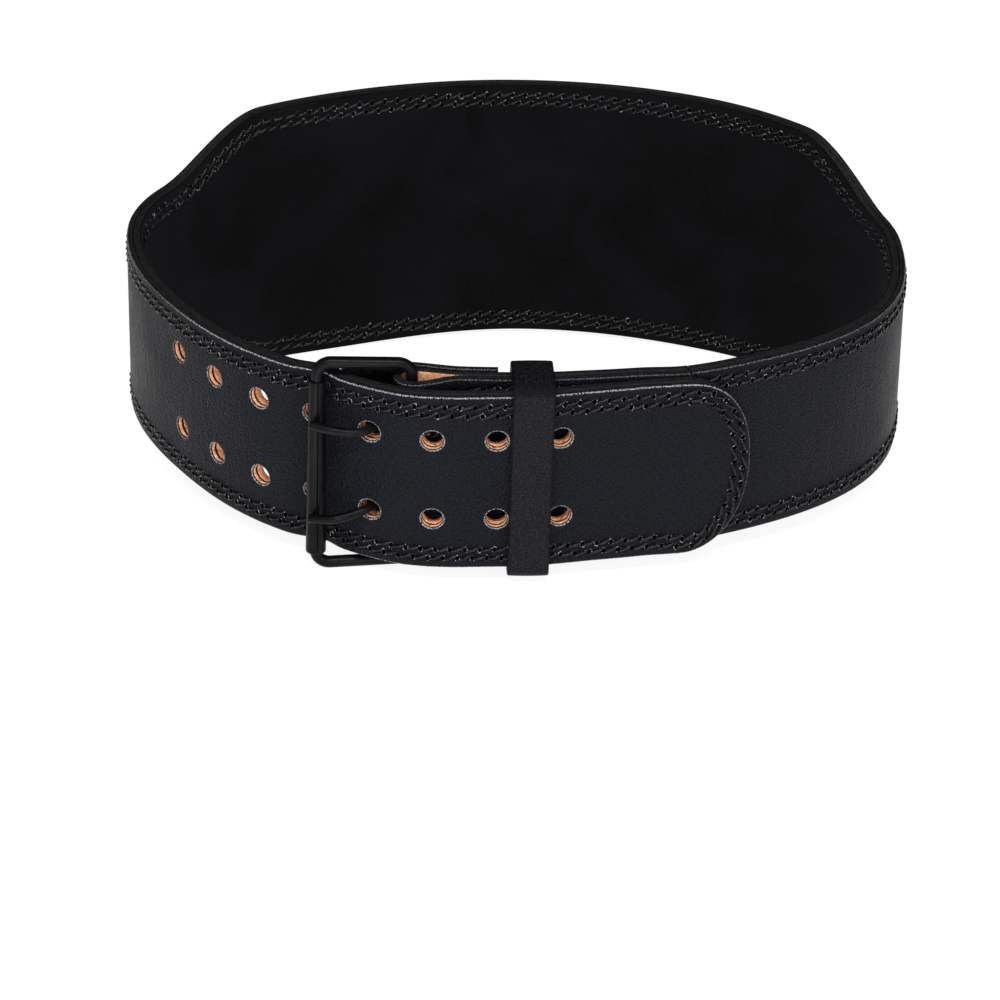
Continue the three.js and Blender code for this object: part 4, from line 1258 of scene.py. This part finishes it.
def rail(pattern, place, depth, rows, outward, skip=None):
    """Rail points with their directions: one point for each whole stitch count, on every row."""
    spots, ways, outs = [], [], []
    for k, row in enumerate(rows):
        counts = np.arange(1.0, pattern.phase_at_edge[-1] - 0.6) + 0.5 * (1 - k)
        lengths = np.interp(counts, pattern.phase_at_edge, pattern.lengths)
        flat = np.column_stack([np.interp(lengths, pattern.lengths, pattern.edge[:, j]) for j in (0, 1)])
        inward = np.column_stack([np.interp(lengths, pattern.lengths, pattern.inward[:, j]) for j in (0, 1)])
        flat = flat + inward * (row - row_shift * pattern.near_tip(flat[:, 0]))[:, None]
        if skip is not None:
            keep = ~skip(flat)
            flat, inward = flat[keep], inward[keep]
        along = np.column_stack((-inward[:, 1], inward[:, 0]))
        level = np.full(len(flat), depth)
        before, after = place(flat - along * 0.5, level), place(flat + along * 0.5, level)
        raised = place(flat, level - outward) - place(flat, level)
        spots.append(place(flat, level))
        ways.append(after - before)
        outs.append(raised)
    return np.vstack(spots), np.vstack(ways), np.vstack(outs)


def sewn(name, rails, seed):
    spots, ways, outs = rails
    piece = new_mesh(name, to_room(spots), [], [])
    for key, data in (("rail_way", ways), ("rail_out", outs)):
        layer = piece.data.attributes.new(key, "FLOAT_VECTOR", "POINT")
        layer.data.foreach_set("vector", lies_in_room(data).astype(np.float32).ravel())
    modifier = piece.modifiers.new("sew", "NODES")
    modifier.node_group = sew
    modifier[sew_ids["Seed"]] = seed
    graph = bpy.context.evaluated_depsgraph_get()
    plain = bpy.data.meshes.new_from_object(piece.evaluated_get(graph))
    piece.modifiers.remove(modifier)
    piece.data = plain
    print(name, "has", len(spots), "stitches and", len(plain.polygons), "faces")
    return piece


def near_bar(flat):
    return np.abs(flat[:, 0] - bar_in_line) < slot_reach + clear_of_slot


outer_rail = rail(strap_pattern, strap_place, thread_sink, stitch_rows, 1)
lining_rail = rail(strap_pattern, strap_place, strap_thickness - lining_sink, stitch_rows, -1)
fold_rail = rail(fold_pattern, fold_place, thread_sink, stitch_rows, 1, near_bar)
thread_outer = sewn("thread_outer", outer_rail, 7)
thread_lining = sewn("thread_lining", lining_rail, 8)
thread_fold = sewn("thread_fold", fold_rail, 9)

# %% [markdown]
# ## Hide the solid that each piece stands for
# Every piece rides on the one fixed body, because a fastened buckle stays as it is. The pieces that take
# the place of a solid hide it, and the threads belong to no solid of their own.

# %% Ride and replace
for piece, node, slot in (
    (leather_outer, "outer_leather", "grain_leather"),
    (leather_lining, "inner_lining", "suede"),
    (leather_fold, "buckle_fold", "grain_leather"),
    (leather_guard, "buckle_guard", "grain_leather"),
    (keeper_band, "keeper_loop", "grain_leather"),
    (buckle_wire, "buckle_frame", "painted_wire"),
    (roller_tube, "roller", "painted_wire"),
    (prong_top, "prong_upper", "painted_wire"),
    (prong_bottom, "prong_lower", "painted_wire"),
):
    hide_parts(node)
    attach(piece, "root")
for piece in (thread_outer, thread_lining, thread_fold):
    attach(piece, "root")

# %% [markdown]
# ## Floor
# Black leather shows what it mirrors, and here its front mirrors the floor. So the floor glows a little
# by itself, which also makes it read as white in the picture. One brighter patch, in front of the buckle,
# gives the soft highlight on the tongue.

# %% Floor
patch_place, patch_core, patch_reach = (-0.14, -0.31, 0), 0.03, 0.13
floor_glow, patch_glow = 0.9, 3.6


def floor_material():
    material, tree, shader = new_finish("pale_floor", roughness=0.9, specular_ior_level=0.1)
    shader.inputs["Base Color"].default_value = (0.25, 0.25, 0.25, 1)
    shader.inputs["Emission Color"].default_value = (1, 1, 1, 1)
    place = add(tree, "ShaderNodeTexCoord").outputs["Object"]
    away = add(tree, "ShaderNodeVectorMath", {0: place, 1: patch_place}, operation="DISTANCE")
    glow = ramp(tree, away.outputs["Value"], patch_reach, patch_core, floor_glow, patch_glow)
    tree.links.new(glow, shader.inputs["Emission Strength"])
    return material


half_floor = 6
floor_corners = [(x * half_floor, y * half_floor, 0) for x, y in ((-1, -1), (1, -1), (1, 1), (-1, 1))]
floor = new_mesh("floor", floor_corners, [(0, 1, 2, 3)], [floor_material()])
print("floor is", 2 * half_floor, "m wide")

# %% [markdown]
# ## Light and camera
# The room is bright in front and dark behind, so faces that look up mirror the dark side and stay black,
# as they do in a studio with one bright wall. A long thin light above and in front draws a line along each
# rolled edge, and two small ones add soft highlights. The long lens looks from a little above, and it is
# shifted because the belt sits high in the frame.

# %% Light
world = bpy.data.worlds.new("studio")
world.use_nodes = True
direction = add(world.node_tree, "ShaderNodeTexCoord").outputs["Generated"]
away = add(world.node_tree, "ShaderNodeSeparateXYZ", {"Vector": direction}).outputs["Y"]
front_glow, back_glow = 0.9, 0.03
room_glow = ramp(world.node_tree, away, -0.8, 0.0, front_glow, back_glow)
world.node_tree.links.new(room_glow, world.node_tree.nodes["Background"].inputs["Strength"])
world.node_tree.nodes["Background"].inputs["Color"].default_value = (0.97, 0.98, 1, 1)
bpy.context.scene.world = world
bpy.context.scene.view_settings.view_transform = "Standard"


def soft_light(name, place, target, size, power, colour=(1, 1, 1)):
    lamp = bpy.data.lights.new(name, "AREA")
    lamp.shape, lamp.size, lamp.size_y = "RECTANGLE", *size
    lamp.energy, lamp.color = power, colour
    item = bpy.data.objects.new(name, lamp)
    item.location = place
    item.rotation_mode = "QUATERNION"
    item.rotation_quaternion = (Vector(target) - Vector(place)).to_track_quat("-Z", "Y")
    bpy.context.scene.collection.objects.link(item)
    return item


soft_light("overhead", (0.0, -1.1, 1.5), (0, 0, 0.05), (1.4, 0.14), 22)
soft_light("front_box", (-0.12, -1.8, 0.25), (0, 0, 0.07), (0.3, 0.3), 5, (0.90, 0.92, 1))
soft_light("right_box", (1.2, -1.3, 0.4), (0, 0, 0.07), (0.3, 0.6), 4, (0.96, 0.95, 1))

# %% Camera
elevation = math.radians(29.64) - belt_tilt
distance, roll = 2.107, math.radians(0.97)
camera = bpy.data.objects.new("camera", bpy.data.cameras.new("camera"))
bpy.context.scene.collection.objects.link(camera)
camera.data.lens, camera.data.sensor_width = 141.8, 36
camera.data.shift_x, camera.data.shift_y = -0.0170, -0.1857
camera.data.clip_start, camera.data.clip_end = 0.1, 50
backwards = Vector((0, -math.cos(elevation), math.sin(elevation)))
upright = Vector((0, math.sin(elevation), math.cos(elevation)))
right = Vector((1, 0, 0)) * math.cos(roll) + upright * math.sin(roll)
up = upright * math.cos(roll) - Vector((1, 0, 0)) * math.sin(roll)
turned = Matrix((right, up, backwards)).transposed()
camera.rotation_mode = "QUATERNION"
camera.rotation_quaternion = turned.to_quaternion()
camera.location = Vector(belt_place) + backwards * distance
bpy.context.scene.camera = camera
print("camera at", [round(k, 3) for k in camera.location])
